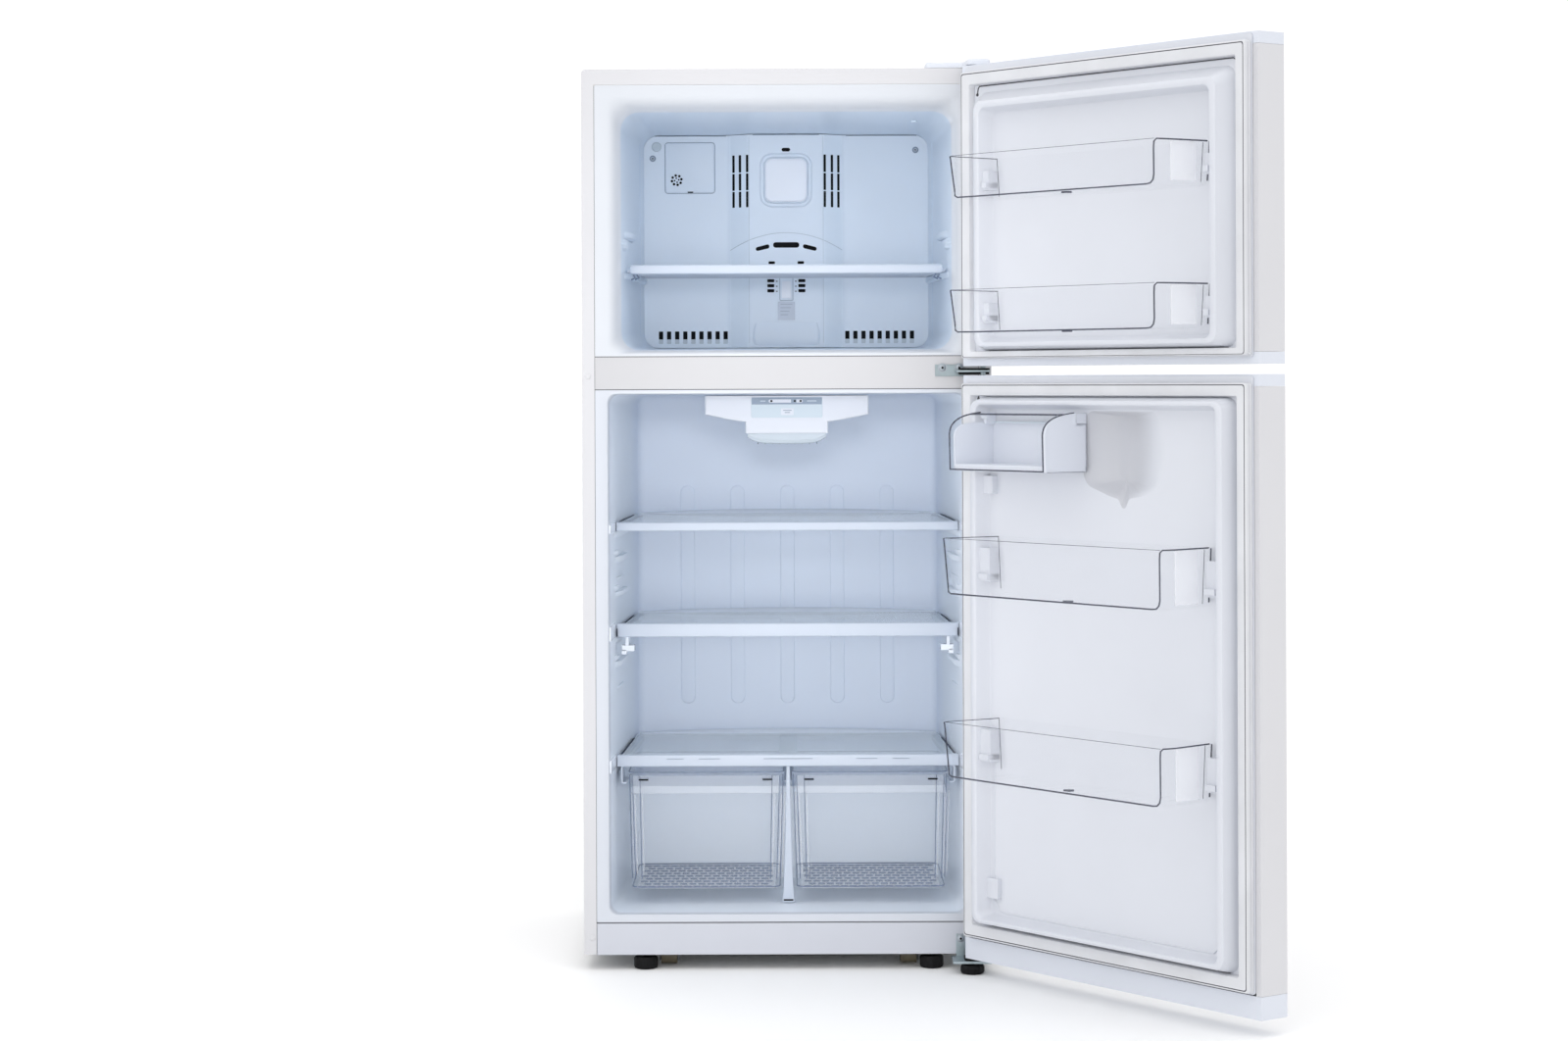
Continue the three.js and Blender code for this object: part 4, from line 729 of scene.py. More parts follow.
def freezer_dial():
    """The small surround of the freezer's slider, and the plain marks beside and under it."""
    s = Sketch()
    s.hoop(front_ring(13, 1244.6, 1299, 2.5, DUCT_Y - 0.2, 4), 0.6)
    s.block((-17, 17), (DUCT_Y - 5.6, DUCT_Y - 0.1), (1206, 1242), 1)
    for i in range(4):
        s.block((-12, 12 - 3 * i), (DUCT_Y - 6, DUCT_Y - 5.4), (1236.5 - 7 * i, 1237.8 - 7 * i), 0)
    for x in (19, -19):
        for i in range(4):
            z = 1262 + i * 10
            s.block((x - 1.6, x + 1.6), (DUCT_Y - 0.8, DUCT_Y - 0.1), (z, z + 2), 2)
    return s.build("freezer_dial", [PANEL_GREY, SHELF_PLASTIC, SEAM], bevel=0.2)


place_piece(evaporator_cover(), "cabinet", "liner_plastic", "evaporator_cover")
place_piece(panel_relief(), "cabinet", "liner_plastic")
place_piece(air_outlet(), "cabinet", "white_plastic", "air_outlet_cover")
place_piece(access_plate(), "cabinet", "liner_plastic", "access_cover")
place_piece(freezer_dial(), "cabinet", "liner_plastic")


# ---------- shelves ----------

SHELF_FRONT = 115
SHELF_BACK = 575


def trapezoid(cavity, clear, y):
    """The plan between the side walls, from one depth to another."""
    a, b = wall_at(cavity, y[0]) - clear, wall_at(cavity, y[1]) - clear
    return [(-a, y[0]), (a, y[0]), (b, y[1]), (-b, y[1])]


def side_strip(side, y, clear, width):
    """The plan of a strip that runs along one side wall of the refrigerator."""
    a, b = wall_at(FRIDGE, y[0]) - clear, wall_at(FRIDGE, y[1]) - clear
    return [(side * a, y[0]), (side * b, y[1]), (side * (b - width), y[1]), (side * (a - width), y[0])]


def freezer_shelf():
    s = Sketch()
    z = 1289
    s.prism(rounded(trapezoid(FREEZER, 3, (123, 480)), 6, 4), "z", (z + 0.5, z + 5))
    for i in range(9):
        y = 150 + i * 36
        half = wall_at(FREEZER, y) - 14
        s.block((-half, half), (y, y + 3), (z - 1.6, z + 1))
    half = wall_at(FREEZER, SHELF_FRONT) - 10.5
    profile = rounded([(115, 1286), (129, 1286), (129, 1303), (115, 1304)], [3, 2, 3, 6], 5)
    rings = []
    # the lip shrinks at both ends
    for x, size in (
        (-half, 0.72), (-half + 2, 0.9), (-half + 6, 1), (half - 6, 1), (half - 2, 0.9), (half, 0.72),
    ):
        rings.append([(x, mix(122, y, size), mix(1295, w, size)) for y, w in profile])
    s.loft(rings, 1)
    for side in (1, -1):
        for x in (half - 6, half - 13):
            s.tube([(side * x, 116, 1284), (side * (x - 3), 124, 1279), (side * (x + 4), 132, 1276)], 1.6, 2)
    return s.build("freezer_shelf_board", [FROSTED, SHELF_PLASTIC, RIB], bevel=0.5)


def shelf_frame(z, height):
    """Slots: 0 the front trim, 1 the side rails and the rear bar, 2 the painted shadow in the gaps beside
    them.
    """
    s = Sketch()
    rail = z + 11
    # the front trim has a soft nose and a lip behind it
    nose = rounded(
        [(115, z), (135, z), (135, rail + 4), (122, z + height), (115, z + height - 2)],
        [2.5, 1, 1, 2, 3], 4,
    )
    rings = []
    for t, edge in ((0, 3), (0.012, 0.8), (0.04, 0), (0.96, 0), (0.988, 0.8), (1, 3)):
        ring = []
        for y, w in nose:
            half = wall_at(FRIDGE, y) - 3
            ring.append((mix(-half, half, t), y + (edge if y < 125 else 0), w))
        rings.append(ring)
    s.loft(rings)
    for side in (1, -1):
        s.prism(side_strip(side, (134, 557), 3, 14), "z", (z, rail), 1)
        s.prism(side_strip(side, (134, 557), 3, 3), "z", (z, rail + 3.6), 1)
        # painted shadow strips in the gaps by the wall
        s.prism(side_strip(side, (122, 470), 3, 3.4), "z", (rail + 3.4, rail + 5), 2)
        if height > 25:
            edge = wall_at(FRIDGE, 122) - 3
            shadow_line = [(side * x, y) for x, y in rectangle((edge - 1.6, edge), (113.5, 124))]
            s.prism(shadow_line, "z", (z + 1, rail + 5), 2)
    # the rear bar rises towards its middle
    rings = []
    half = wall_at(FRIDGE, SHELF_BACK) - 7
    for k in range(21):
        t = k / 20 * 2 - 1
        top = z + 23 - 7 * abs(t) ** 2.5
        bar = ((555, z), (575, z), (575, top), (569, top), (557, rail + 5), (555, rail + 4))
        rings.append([(half * t, y, w) for y, w in bar])
    s.loft(rings, 1)
    return s


def crisper_cover():
    z = CRISPER_COVER
    s = shelf_frame(z, 23)
    # divider, runners, and the post that stands in front of it
    s.block((-17, 17), (134, 556), (z, z + 9), 1)
    s.block((-2.5, 2.5), (120, 430), (328, z + 2))
    s.block((-7.5, 7.5), (137, 430), (328, 331))
    s.pair((311, 314), (120, 205), (330, z + 2))
    s.pair((303.5, 312), (120, 205), (328, 331))
    post = ((104, 10), (106, 12), (130, 9.5), (220, 6.5), (330, 4), (361, 3.2))
    s.loft([flat_ring(rectangle((-half, half), (119, 131)), 2, w, 3) for w, half in post])
    s.block((-9, 9), (118.2, 119.6), (107, 110), 3)
    # plain marks on the front strip, where the real one is labelled
    for x in ((-46, 46), (-168, -128), (-228, -196), (128, 168), (196, 228)):
        s.block(x, (113.9, 115.2), (z + 14, z + 15.4), 4)
    return s


def middle_frame():
    s = shelf_frame(MIDDLE_SHELF, 26)
    s.pair((299, 305), (122, 150), (586, 608), 1)
    s.pair((288, 312), (120, 150), (577, 588), 1)
    s.pair((303, 312), (120, 150), (571, 580), 1)
    return s


def shelf_pieces():
    looks = [SHELF_PLASTIC, RAIL_PAINTED_LIGHT, GAP_SHADOW]
    upper_frame = shelf_frame(UPPER_SHELF, 17)
    for name, sketch, bevel in (("upper", upper_frame, 0.6), ("middle", middle_frame(), 0.8)):
        frame_piece = sketch.build(name + "_shelf_trim", looks, bevel=bevel)
        place_piece(frame_piece, name + "_shelf", "white_plastic", name + "_shelf_frame")
    cover = crisper_cover().build("crisper_cover_trim", looks + [BLACK, PANEL_GREY], bevel=0.5)
    place_piece(cover, "cabinet", "white_plastic", "crisper_cover_frame")


place_piece(freezer_shelf(), "freezer_shelf", "clear_plastic", "freezer_shelf")
shelf_pieces()


# ---------- controls ----------

def control_outline(inset):
    """The housing from the front, with the lamp cover's stem under it."""
    lamp, side = 78 - inset, 154 - inset
    return [
        (-side, 1056.5), (-side, 1021 + inset), (-lamp - 30, 1011.5 + inset), (-lamp, 1007 + inset),
        (-lamp, 986), (lamp, 986), (lamp, 1007 + inset), (lamp + 30, 1011.5 + inset),
        (side, 1021 + inset), (side, 1056.5),
    ]


def controls():
    s = Sketch()
    shell = ((300, 0), (124, 0), (121, 0.8), (120, 2.4))
    s.loft([[(x, y, z) for x, z in control_outline(inset)] for y, inset in shell])
    # the panel: a dark strip with its slider's track, above a paler field
    panel = rounded(rectangle((-67, 67), (1015, 1053.5)), 3, 4)
    s.prism(panel, "y", (119.2, 121), 2)
    s.block((-66, 66), (118.9, 120.5), (1040, 1053), 1)
    track = rounded(rectangle((-34, 30), (1043.5, 1049.5)), 2.8, 5)
    s.prism(track, "y", (118.5, 120), 0)
    for x in (-29, 15, 26):
        s.lathe([(0, 117.9), (2.2, 117.9), (2.2, 119)], (x, 0, 1046.5), "y", 14, 3)
    for x0, x1 in ((-50, -40), (38, 56)):
        s.block((x0, x1), (118.4, 119.2), (1045.6, 1047.4), 2)
    s.block((-11, 13), (118.6, 120), (1020, 1033), 0)
    for i, half in enumerate((8, 5)):
        s.block((1 - half, 1 + half), (118.2, 119), (1028 - 4 * i, 1029.6 - 4 * i), 1)
    return s.build("control_panel", [WHITE_PLASTIC, PANEL_GREY, PANEL_PALE, BLACK], bevel=0.6)


def lamp_lens():
    s = Sketch()
    rings = []
    for y, drop in ((292, 6), (284, 0), (140, 0), (128, 2), (124, 8)):
        across = [k / 8 - 1 for k in range(17)]
        ring = [(74 * t, y, 965.6 + drop + 12 * abs(t) ** 5) for t in across]
        rings.append(ring + [(74, y, 985.7), (-74, y, 985.7)])
    s.loft(rings)
    for i in range(9):
        x = -56 + i * 14
        s.block((x, x + 1.6), (140, 280), (964.9, 966.4))
    return s.build("lamp_lens", [LAMP], bevel=0.8)


place_piece(controls(), "cabinet", "white_plastic", "control_housing")
place_piece(lamp_lens(), "cabinet", "clear_plastic", "lamp_cover")


# ---------- crisper drawers ----------

def crisper(side, name):
    """A drawer, given as the right-hand one and mirrored for the left."""
    s = Sketch()

    def plan(x, y):
        corners = rectangle(x, y)
        return corners if side > 0 else [(-u, v) for u, v in corners][::-1]

    levels = (
        ((22, 287), (115, 402), 14, 131), ((16, 293), (109, 407), 20, 136),
        ((14, 295), (106, 411), 22, 153), ((8.5, 299), (103, 440), 18, 352),
        ((11, 296.5), (105.5, 437.5), 16, 352), ((16.5, 292.5), (108.5, 408.5), 19, 153),
        ((22, 287), (115, 402), 14, 133.5),
    )
    s.loft([flat_ring(plan(x, y), r, z) for x, y, r, z in levels])

    def sx(a, b):
        return (a, b) if side > 0 else (-b, -a)

    # the grip across the front, its two finger notches drawn as black strips in painted shade, and the
    # runners at the sides
    for x, y, z, slot in (
        ((16, 292), (97, 104), (345, 351), 1), ((16, 292), (99.5, 104), (312, 345), 5),
        ((16, 292), (97, 104), (311, 314), 1), ((30, 48), (95.8, 98), (336.5, 339.5), 2),
        ((262, 280), (95.8, 98), (336.5, 339.5), 2), ((297, 306), (150, 400), (332, 335), 1),
        ((6, 11), (150, 400), (332, 335), 1),
    ):
        s.block(sx(*x), y, z, slot)
    # painted dark outlines, shade where the clear plastic's edges look dark: the bottom rim, the top rim and
    # the upright corners, each upright with a pale bead beside it as a painted highlight
    for x, y, r, z, thick in (((16, 293), (109, 407), 20, 135, 1.3), ((8.5, 299), (103, 440), 18, 351, 1.2)):
        s.hoop(flat_ring(plan(x, y), r, z), thick, 3, 6)
    for low_x, high_x in ((22, 16), (34, 30), (287, 292), (275, 278), (15.4, 9.6), (293.6, 298)):
        y0, y1 = (108.5, 103.5) if low_x not in (15.4, 293.6) else (126, 121)
        a, b = (low_x, high_x) if side > 0 else (-low_x, -high_x)
        s.tube([(a, y0, 150), (b, y1, 345)], 1.1, 3, 6)
        s.tube([(a + 4, y0 - 0.6, 160), (b + 4, y1 - 0.6, 312)], 0.7, 4, 6)
    # the floor's staggered ribs
    s.block(sx(24, 285), (118, 400), (131.4, 133.2), 4)
    for row in range(9):
        y = 122 + row * 33
        for i in range(15):
            x = 30 + i * 17 + (8.5 if row % 2 else 0)
            if x + 13 < 282:
                s.block(sx(x, x + 13), (y, y + 5), (133, 134.9), 3)
    looks = [CRISPER_WALL, CLEAR, BLACK, RIB, BRIGHT, GRIP]
    place_piece(s.build(name + "_tub", looks, angle=50), name, "clear_plastic", name)


crisper(-1, "crisper_left")
crisper(1, "crisper_right")


# ---------- doors ----------

PANEL_Y = -17.7
FACE_Y = PANEL_Y + WALL
# half the width at the outer foot of the dike, the raised band round a door's inside
FOOT = 329.5
# low, high, line, gasket and dike are heights: the liner's ends, the painted shadow line near the top, the
# gasket's ends and the dike's outer foot. side, bottom and top are how far in from that foot its crest begins
# and it ends.
UPPER = dict(
    prefix="upper_door", low=1121, high=1655, line=1617, gasket=(1124, 1644), dike=(1138, 1605),
    side=(19, 42), bottom=(6, 22), top=(17, 38),
    bins=(("top", 1406, 1483), ("bottom", 1167, 1245)), bin_front=(267, 108),
)
LOWER = dict(
    prefix="lower_door", low=70, high=1090, line=1066, gasket=(73, 1079), dike=(99.5, 1055),
    side=(7, 30), bottom=(6, 22), top=(6, 22),
    bins=(("middle", 702, 804), ("bottom", 377, 477)), bin_front=(283, 113),
)


def recess_outline(t=0.0):
    """The hollow beside the dairy box, narrowed by t towards its deepest line."""
    raw = [(44, 1030), (53, 940), (44, 902), (-14, 884), (-40, 878), (-54, 856), (-68, 880), (-98, 884),
           (-146, 900), (-159, 950), (-149, 1030)]
    raw = rounded(raw[::-1], [22, 40, 30, 26, 10, 7, 10, 26, 30, 44, 24], 6)
    deepest, middle = -34, 968
    return [
        # the lower tip draws in the most, and the hollow runs out gently there
        (mix(x, deepest, t * 0.985), mix(z, middle, t * (0.2 + max(0, 900 - z) / 110)))
        for x, z in raw
    ]


def door_liner(d):
    """The moulded inside of a door."""
    s = Sketch(door)
    crest = 13
    (low, high), side, bottom, top = d["dike"], d["side"], d["bottom"], d["top"]

    def ring(at, radius, y):
        return front_ring(FOOT - at(side), low + at(bottom), high - at(top), radius, y, 10)

    edge = [front_ring(365.5, d["low"], d["high"], 6, y, 10) for y in (FACE_Y, PANEL_Y)]
    face = [
        ring(lambda e: e[1] + 5, 12, FACE_Y), ring(lambda e: e[1] + 1, 12, FACE_Y + 1.5),
        ring(lambda e: e[1] - 1.5, 13, FACE_Y + 5), ring(lambda e: e[1] - 6, 14, crest - 2),
        ring(lambda e: e[1] - 7.5, 15, crest + 0.8), ring(lambda e: e[1] - 10, 16, crest + 2),
        ring(lambda e: e[0] + 4, 18, crest + 2), ring(lambda e: e[0] + 1.2, 19, crest + 0.8),
        ring(lambda e: e[0], 20, crest - 2), ring(lambda e: 0, 22, FACE_Y),
    ]
    inner = [
        ring(lambda e: WALL, 20, PANEL_Y), ring(lambda e: e[0] + WALL, 18, crest - WALL),
        ring(lambda e: e[1] - 6 - WALL, 16, crest - WALL), ring(lambda e: e[1] - WALL, 12, PANEL_Y),
    ]
    s.loft(face + edge + inner)
    obj = s.build(d["prefix"] + "_lining", [DOOR_LINER])
    if d is LOWER:
        cut = Sketch(door).prism(recess_outline(), "y", (PANEL_Y - 1, FACE_Y + 1))
        carve(obj, cut.build("recess", [DOOR_LINER]))
    return obj


def recess_bowl():
    s = Sketch(door)

    def stack(thick):
        rings = []
        for i in range(15):
            t = i / 16
            depth = 24 * math.sin(t * math.pi / 2) ** 1.5
            rings.append([(x, FACE_Y - depth - thick, z) for x, z in recess_outline(t)])
        return rings

    s.loft(stack(1.5)[::-1] + stack(0))
    # its finish darkens across the hollow as painted shade
    return s.build("door_recess", [RECESS_SHADE], angle=60)


def door_mouldings(d):
    """Bosses that the bins hang on, painted shadow lines in the gaps at the top and the foot, and small tabs.
    """
    s = Sketch(door)
    inner = FOOT - d["side"][1] + 6
    for _, low, high in d["bins"]:
        for side in (1, -1):
            x = sorted((side * 277, side * inner))
            s.block(x, (FACE_Y - 1, 6), (low + 20, high - 22))
            s.block(sorted((side * 277, side * (inner - 4))), (FACE_Y - 1, 12), (low + 24, low + 34))
    # painted shadow lines in the gaps: the dark one along the top and the fine one along the foot
    line = d["line"]
    base = d["dike"][0] - 0.6
    y = FACE_Y + 0.4
    shadow_line = [(FOOT + 1, -14), (FOOT - 1, -4), (FOOT - 5, 0), (6 - FOOT, 0), (-FOOT, -3), (-FOOT, -20)]
    s.tube([(x, y, line + drop) for x, drop in shadow_line], 1.15, 1)
    s.tube([(FOOT - 30, y, base), (20 - FOOT, y, base)], 0.7, 1)
    s.lathe([(0, FACE_Y + 1.6), (2.6, FACE_Y + 1.6), (3, FACE_Y)], (FOOT + 1, 0, line - 15), "y", 14, 1)
    if d is LOWER:
        s.block((272, 303), (FACE_Y - 1, -6), (150, 186))
        s.block((278, 303), (FACE_Y - 1, -2), (880, 912))
        ridge = [(289, 430), (290.5, 170), (288, 145), (278, 131), (262, 126)]
        ridge += [(-270, 126), (-284, 138), (-288, 700)]
        s.tube([(x, FACE_Y + 0.2, z) for x, z in ridge], 1.5, 0)
    return s.build(d["prefix"] + "_mouldings", [DOOR_LINER, SEAM], bevel=1.6, segments=3)


def gasket(d):
    s = Sketch(door)
    low, high = d["gasket"]
    width = 24.5
    hole_low = min(low + width, d["dike"][0] - 1)
    hole_high = max(high - width, d["dike"][1] + 1)
    # (share of the way across, depth, finish of the band that follows)
    profile = (
        (0, -14.9, 0), (0, -12.4, 0), (0.04, -11.6, 0), (0.04, -9.8, 0), (0.01, -9, 0), (0.01, -4, 0),
        (0.03, -1.4, 0), (0.09, -0.6, 0), (0.13, -0.7, 1), (0.15, -1.8, 1), (0.18, -1.8, 1), (0.2, -0.7, 0),
        (0.62, -0.8, 0), (0.94, -2.4, 0), (1, -6, 0), (1, -14.9, 0),
    )
    rings = []
    for t, y, _ in profile:
        half = mix(363.5, 339, t)
        rings.append(front_ring(half, mix(low, hole_low, t), mix(high, hole_high, t), mix(5, 4, t), y, 5))
    # bands of finish 1 are the gasket's fold, in near black: painted shade
    s.loft(rings, [p[2] for p in profile], loop=True)
    return s.build(d["prefix"] + "_seal", [GASKET, GROOVE_SHADE], angle=50)


def door_bin(d, which, low, high):
    """A clear bin on a door; d is the door it hangs on."""
    s = Sketch(door)
    back = FACE_Y + 0.6
    half, front = d["bin_front"]

    def ring(inset, drop, r, z):
        room, wall, near = half - inset - drop, 272 - inset - drop, front - inset - drop
        plan = [(-wall, back + inset), (wall, back + inset), (room, near), (-room, near)]
        return flat_ring(plan, [r * 0.25, r * 0.25, r, r], z)

    s.loft([
        ring(8, 6, 14, low), ring(3, 6, 18, low + 2.4), ring(0, 6, 20, low + 8), ring(0, 0, 24, high - 0.8),
        ring(0.8, 0, 23, high), ring(1.8, 0, 22.4, high), ring(2.5, 0, 22, high - 0.8),
        ring(2.5, 6, 18, low + 8), ring(6, 6, 15, low + 3.4), ring(8, 6, 14, low + 2.5),
    ])
    # painted dark edges, shade where the clear plastic's edges look dark: down the near corner, along the
    # bottom, up the far corner, over its end
    y, x = front - 8, half - 8
    edge = [(half - 3, front - 2, high - 1), (half - 4, front - 3, high - 12), (half - 8, y, low + 16),
            (x - 1, y, low + 6), (x - 8, y, low + 3)]
    edge += [(mix(x - 8, 24 - x, k / 12), y, low + 2.8) for k in range(1, 13)]
    edge += [(14 - x, y, low + 4), (8 - x, y, low + 9), (5 - x, y + 0.6, low + 18), (3 - x, y + 3, high - 16),
             (1 - x, y + 4, high - 5), (-3 - x, y + 2, high - 0.6), (-half + 2, y - 8, high - 0.6),
             (-half + 1, 80, high - 0.6), (-270, -6, high - 0.6)]
    for path, radius in (
        (edge, 1.45), ([(-270.6, -11, high - 1), (-265, -11, low + 10)], 1.4),
        ([(-268.4, 2, high - 3), (-263, 2, low + 8)], 0.6),
        ([(270.6, -10, high - 1), (half - 0.6, front - 8, high - 0.8), (half - 4, front - 1, high - 1)], 0.8),
        ([(mix(half - 5, 5 - half, k / 8), front - 0.4, high - 0.4) for k in range(9)], 0.45),
        ([(270, -9, high - 2), (264, -9, low + 8)], 0.6),
    ):
        s.tube(path, radius, 1, 6)
    # bright panes at the far end, a painted highlight on its clear end wall, then ribs on the floor and the
    # small catch under the middle
    corners = ((0.3, 0), (0.8, 0), (0.8, 1.4), (0.3, 1.4))
    highlight_pane = [(mix(9 - half, -266, t) + thick, mix(front - 8, -6, t)) for t, thick in corners]
    s.prism(highlight_pane, "z", (low + 9, high - 2), 2)
    s.block((-7, 7), (60, 72), (low - 0.2, low + 3), 1)
    for x in range(-220, 221, 40):
        s.block((x, x + 1.4), (0, front - 17), (low + 2.2, low + 4))
    name = f"{d['prefix']}_bin_{which}"
    obj = s.build(name + "_tray", [CLEAR, EDGE_SHADE, BRIGHT], angle=50)
    place_piece(obj, name, "clear_plastic", name)


for d in (UPPER, LOWER):
    prefix = d["prefix"]
    replaced = [prefix + "_liner"] + (["lower_door_foam"] if d is LOWER else [])
    place_piece(door_liner(d), prefix, "door_plastic", *replaced)
    place_piece(door_mouldings(d), prefix, "door_plastic")
    place_piece(gasket(d), prefix, "gasket_rubber", prefix + "_gasket")
    for which, low, high in d["bins"]:
        door_bin(d, which, low, high)
place_piece(recess_bowl(), "lower_door", "door_plastic")


# ---------- dairy box ----------

def dairy_box():
    s = Sketch(door)
    back = PANEL_Y + WALL + 0.6
    side = [(back, 923), (79, 923), (81, 985), (78, 994), (70, 1002), (56, 1007), (34, 1009), (back, 1009)]
    for x in ((39.5, 42.5), (285.5, 288.5)):
        s.prism(side, "x", x)
    s.block((39.5, 288.5), (back, 79), (923, 935))
    s.block((39.5, 288.5), (back, back + 3), (923, 1009))
    for x in ((39.5, 47.5), (280.5, 288.5)):
        s.block(x, (back, back + 24), (1005, 1026))
    for i in range(4):
        s.block((60, 270), (back + 3 + i * 5, back + 5 + i * 5), (1008, 1010), 1)
    return s.build("dairy_box", [WHITE_PLASTIC, PANEL_PALE], bevel=1.0)


def dairy_door():
    """The clear curved lid, its white end and its dark rim, which is painted shade along its clear edges."""
    s = Sketch(door)

    def curve(inset):
        """(depth, height) up the straight front, then over the top as one smooth curve."""
        points = [(85 - inset + 1.5 * k / 5, mix(925, 988, k / 5)) for k in range(6)]
        bend = [(86.5 - inset, 988), (85 - inset, 1012 - inset), (61, 1022 - inset), (14, 1026 - inset)]
        for k in range(1, 13):
            t = k / 12
            weights = ((1 - t) ** 3, 3 * t * (1 - t) ** 2, 3 * t * t * (1 - t), t ** 3)
            points.append(tuple(sum(w * spot[i] for w, spot in zip(weights, bend)) for i in (0, 1)))
        return points

    def shell(x, thick, slot):
        s.prism(curve(0) + curve(thick)[::-1], "x", x, slot)

    shell((40, 292.5), 2.6, 0)
    shell((35.5, 40), 3.4, 1)
    # the end panel fills the space inside the curve
    s.prism(curve(0.2) + [(14, 1004), (-8, 1004), (-8, 925)], "x", (36.2, 38.6), 1)
    # dark beads round the rim and across the top, in painted shade
    for x in (41.4, 291.6):
        s.tube([(x, y, z) for y, z in curve(-0.4)], 1.5, 2, 6)
    s.tube([(41, 85.4, 925.6), (292, 85.4, 925.6)], 1.4, 2, 6)
    for i in range(3):
        z = 1021 - i * 0.8
        s.tube([(46, 30 + i * 10, z + 3.4), (288, 30 + i * 10, z + 3.4)], 0.7, 2, 6)
    for x in ((48.5, 65.5), (262.5, 279.5)):
        s.lathe([(0, x[0]), (4, x[0]), (4, x[1]), (0, x[1])], (0, 20, 1019), "x", 20, 1)
    return s.build("dairy_lid_curve", [CLEAR, WHITE_PLASTIC, EDGE_SHADE], angle=50)


place_piece(dairy_box(), "lower_door", "white_plastic", "dairy_housing")
place_piece(dairy_door(), "dairy_lid", "clear_plastic", "dairy_lid")


# ---------- feet, hinges and small fittings ----------

def foot(name, x, y, height, radius=22):
    """A fluted pad with a short stud."""
    s = Sketch()
    rings = []
    top = height - 3
    for r, z in ((radius - 5, 0), (radius - 1.5, 1.5), (radius, 5), (radius, top), (radius - 2, height)):
        ring = []
        for k, (u, v) in enumerate(circle(1, 72)):
            flute = 0.8 if (k // 3) % 2 and 4 < z < height - 1 else 0
            ring.append((x + (r - flute) * u, y + (r - flute) * v, z))
        rings.append(ring)
    s.loft(rings)
    s.lathe([(0, height - 1), (4, height - 1), (4, height + 8), (0, height + 8)], (x, y, 0), "z", 20)
    place_piece(s.build(name + "_pad", [BLACK], angle=30), name, "black_plastic", name)


foot("levelling_foot_left", -264, 18, 22)
foot("levelling_foot_right", 264, 18, 22)
foot("hinge_foot", 336, -50, 16)


def hinge_cover():
    """A low shell over the top hinge, flat on the case and reaching out over the pin."""
    s = Sketch()
    rings = []
    for inset, z in ((0, 1660.6), (0, 1667), (0.8, 1669.4), (2.4, 1670.8), (5, 1671.4)):
        plan = [(258 + inset, 2 + inset), (326 + inset, 2 + inset), (332 + inset, -64 + inset),
                (374 - inset, -64 + inset), (374 - inset, 66 - inset), (258 + inset, 66 - inset)]
        rings.append(flat_ring(plan, [8, 10, 10, 10, 8, 8], z))
    s.loft(rings)
    plug = [(0, 1671.2), (5, 1671.2), (5.4, 1670.6), (6, 1671.6), (7, 1671.2), (7, 1670)]
    s.lathe(plug, (290, 36, 0), "z", 24, 1)
    return s.build("hinge_cover_shell", [WHITE_PLASTIC, PANEL_PALE], angle=50)


def fittings():
    s = Sketch()
    for x, z in ((287, 1107.5), (318, 1107.5), (317, 56)):
        s.lathe([(8, -3.2), (8.6, -3.9), (6.4, -3.9), (5.6, -6.2), (4, -7), (0, -7)], (x, 0, z), "y", 26, 1)
        # a black hexagon on each screw head: painted shade in its socket
        s.lathe([(0, -7.2), (2.4, -7.2), (2.4, -6.6)], (x, 0, z), "y", 6, 2)
    # black stops over and under the middle arm, and on the bottom one
    for z0, z1, reach in ((1103.3, 1106.2, -64), (1095.0, 1098.8, -52)):
        plan = rounded([(316, reach), (371, reach), (371, -4), (316, -4)], 7, 4)
        s.prism(plan, "z", (z0, z1), 3)
    s.prism(rounded([(322, -58), (368, -58), (368, -8), (322, -8)], 7, 4), "z", (23.7, 26.4), 2)
    # closing plugs in the case's front edge
    for x, z in ((-366, 1094), (-362, 58)):
        s.lathe([(5.4, 0.2), (5.4, -0.8), (4.6, -1.3), (0, -1.5)], (x, 0, z), "y", 24, 0)
    return s.build("front_fittings", [WHITE_STEEL, SCREW_STEEL, BLACK, HINGE_BLACK], angle=40)


def case_seams():
    """Thin dark joints between the liners, the divider and the grille."""
    s = Sketch()
    for z in (1069.0, 1129.7, 86.7):
        s.block((-353.5, 353.5), (-0.15, 0.6), (z - 0.7, z + 0.7))
    for x in (-353.9, 353.9):
        s.block((x - 0.35, x + 0.35), (-0.15, 0.6), (28, 1630))
    return s.build("case_seams", [SEAM])


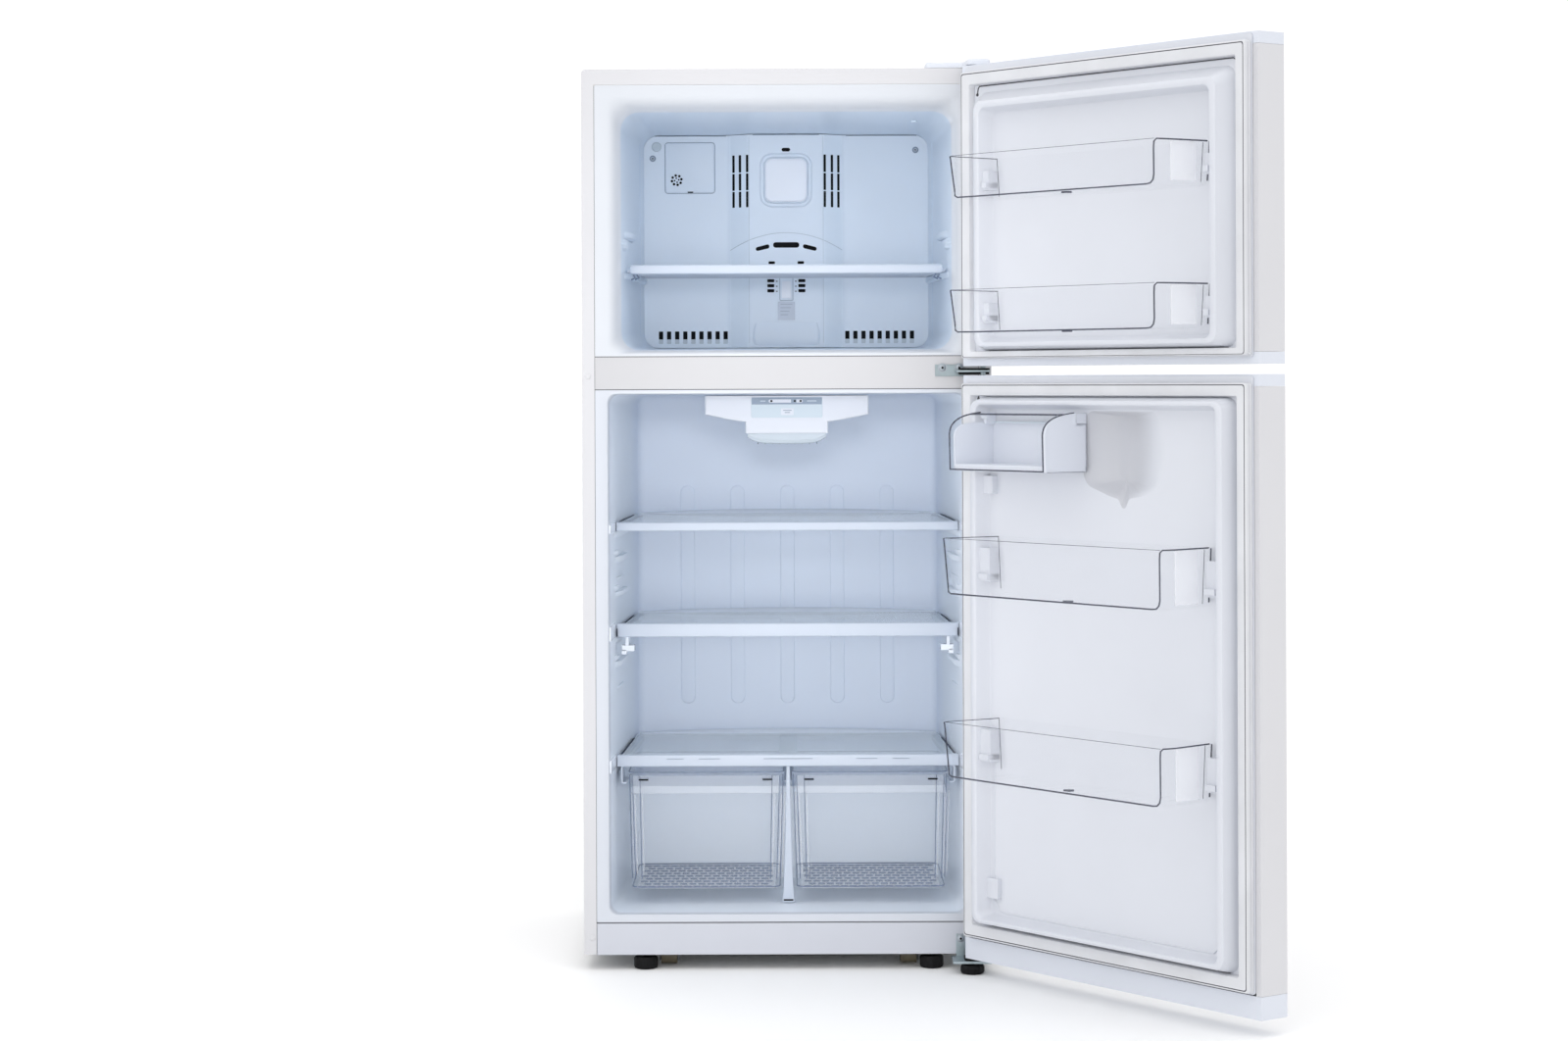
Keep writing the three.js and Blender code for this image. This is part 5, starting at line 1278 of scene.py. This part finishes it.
def case_back():
    """The case's folded hem round the back, pressed panels, screws and a drain spout."""
    s = Sketch()
    inner, outer = (363, 43, 1646, 6), (377.4, 28.2, 1659.8, 3)
    hem = ((outer, 690.2), (outer, 691.4), (inner, 691.4), (inner, 690.2))
    s.loft([front_ring(*edge, y) for edge, y in hem], loop=True)
    for z0, z1 in ((300, 700), (760, 1090), (1150, 1600)):
        steps = ((0, 689.6), (0, 690.4), (3, 692), (9, 692), (12, 690.8), (13, 690.6))
        s.loft([front_ring(300 - i, z0 + i, z1 - i, 40 - i, y) for i, y in steps], 1)
    places = [(x, z) for x in (-352, 352) for z in range(60, 1660, 176)]
    places += [(x, z) for x in (-210, -70, 70, 210) for z in (248, 1634)]
    for x, z in places:
        s.lathe([(6, -0.2), (6, 0.4), (4.4, 0.6), (4, 2), (2.6, 2.6), (0, 2.6)], (x, 690, z), "y", 18, 2)
    s.lathe([(9, 0), (9, 1.4), (6, 2), (5, 4.4), (3.6, 4.4), (3.6, 2)], (0, 690, 262), "y", 24, 3)
    return s.build("case_back_details", [WHITE_STEEL, GALVANISED, SCREW_STEEL, BLACK], bevel=0.3)


place_piece(case_back(), "cabinet", "white_steel")
place_piece(hinge_cover(), "cabinet", "white_plastic", "top_hinge_cover")
place_piece(fittings(), "cabinet", "zinc_steel")
place_piece(case_seams(), "cabinet", "white_steel")


# ---------- floor, light and camera ----------

def floor():
    m = finish("pale_floor", (0.97, 0.97, 0.97), 0.6, vary=0.006, spots=1.5, grain=300, bump=0.02)
    mesh = bpy.data.meshes.new("floor")
    mesh.from_pydata([(-40, -40, 0), (40, -40, 0), (40, 40, 0), (-40, 40, 0)], [], [[0, 1, 2, 3]])
    mesh.materials.append(m)
    obj = bpy.data.objects.new("floor", mesh)
    bpy.context.scene.collection.objects.link(obj)


def area(name, place, target, size, power, spread=180, glossy=True):
    """A lamp that the camera doesn't see; `size` in metres, `power` in watts, `spread` in degrees."""
    data = bpy.data.lights.new(name, "AREA")
    data.shape = "RECTANGLE"
    data.size, data.size_y = size
    data.energy = power
    data.spread = math.radians(spread)
    obj = bpy.data.objects.new(name, data)
    obj.location = place
    obj.rotation_mode = "QUATERNION"
    obj.visible_camera = False
    obj.visible_glossy = glossy
    obj.rotation_quaternion = (Vector(target) - Vector(place)).to_track_quat("-Z", "Y")
    bpy.context.scene.collection.objects.link(obj)


def camera():
    """The photo's view: straight on, with the lens shifted down towards the floor."""
    data = bpy.data.cameras.new("camera")
    data.lens = 75.46
    data.sensor_width = 36
    data.shift_x = -0.0016
    data.shift_y = -0.0897
    data.clip_end = 200
    obj = bpy.data.objects.new("camera", data)
    turn = Matrix.Rotation(math.pi / 2, 4, "X") @ Matrix.Rotation(math.radians(-0.21), 4, "Z")
    obj.matrix_world = Matrix.Translation(cabinet(-0.34, -6060.9, 1086.3)) @ turn
    bpy.context.scene.collection.objects.link(obj)
    bpy.context.scene.camera = obj


def world():
    w = bpy.data.worlds.new("studio")
    w.use_nodes = True
    back = w.node_tree.nodes["Background"]
    back.inputs["Color"].default_value = (1, 1, 1, 1)
    back.inputs["Strength"].default_value = 1.1
    bpy.context.scene.world = w


floor()
world()
camera()
area("key_left", cabinet(-2600, -3600, 2600), cabinet(0, 200, 800), (2.2, 2.2), 8)
area("overhead", cabinet(0, -2200, 4200), cabinet(0, -2200, 0), (5, 4), 20, spread=120)
for name, height, target, tall, power, spread in (
    ("into_refrigerator", 760, (0, 400, 620), 0.6, 0.78, 28),
    ("into_crispers", 400, (0, 300, 250), 0.2, 0.05, 16),
    ("into_freezer", 1420, (0, 400, 1360), 0.3, 0.66, 24),
):
    area(name, cabinet(0, -3300, height), cabinet(*target), (0.5, tall), power, spread, glossy=False)
bpy.context.scene.view_settings.view_transform = "Standard"
bpy.context.scene.cycles.transparent_max_bounces = 48
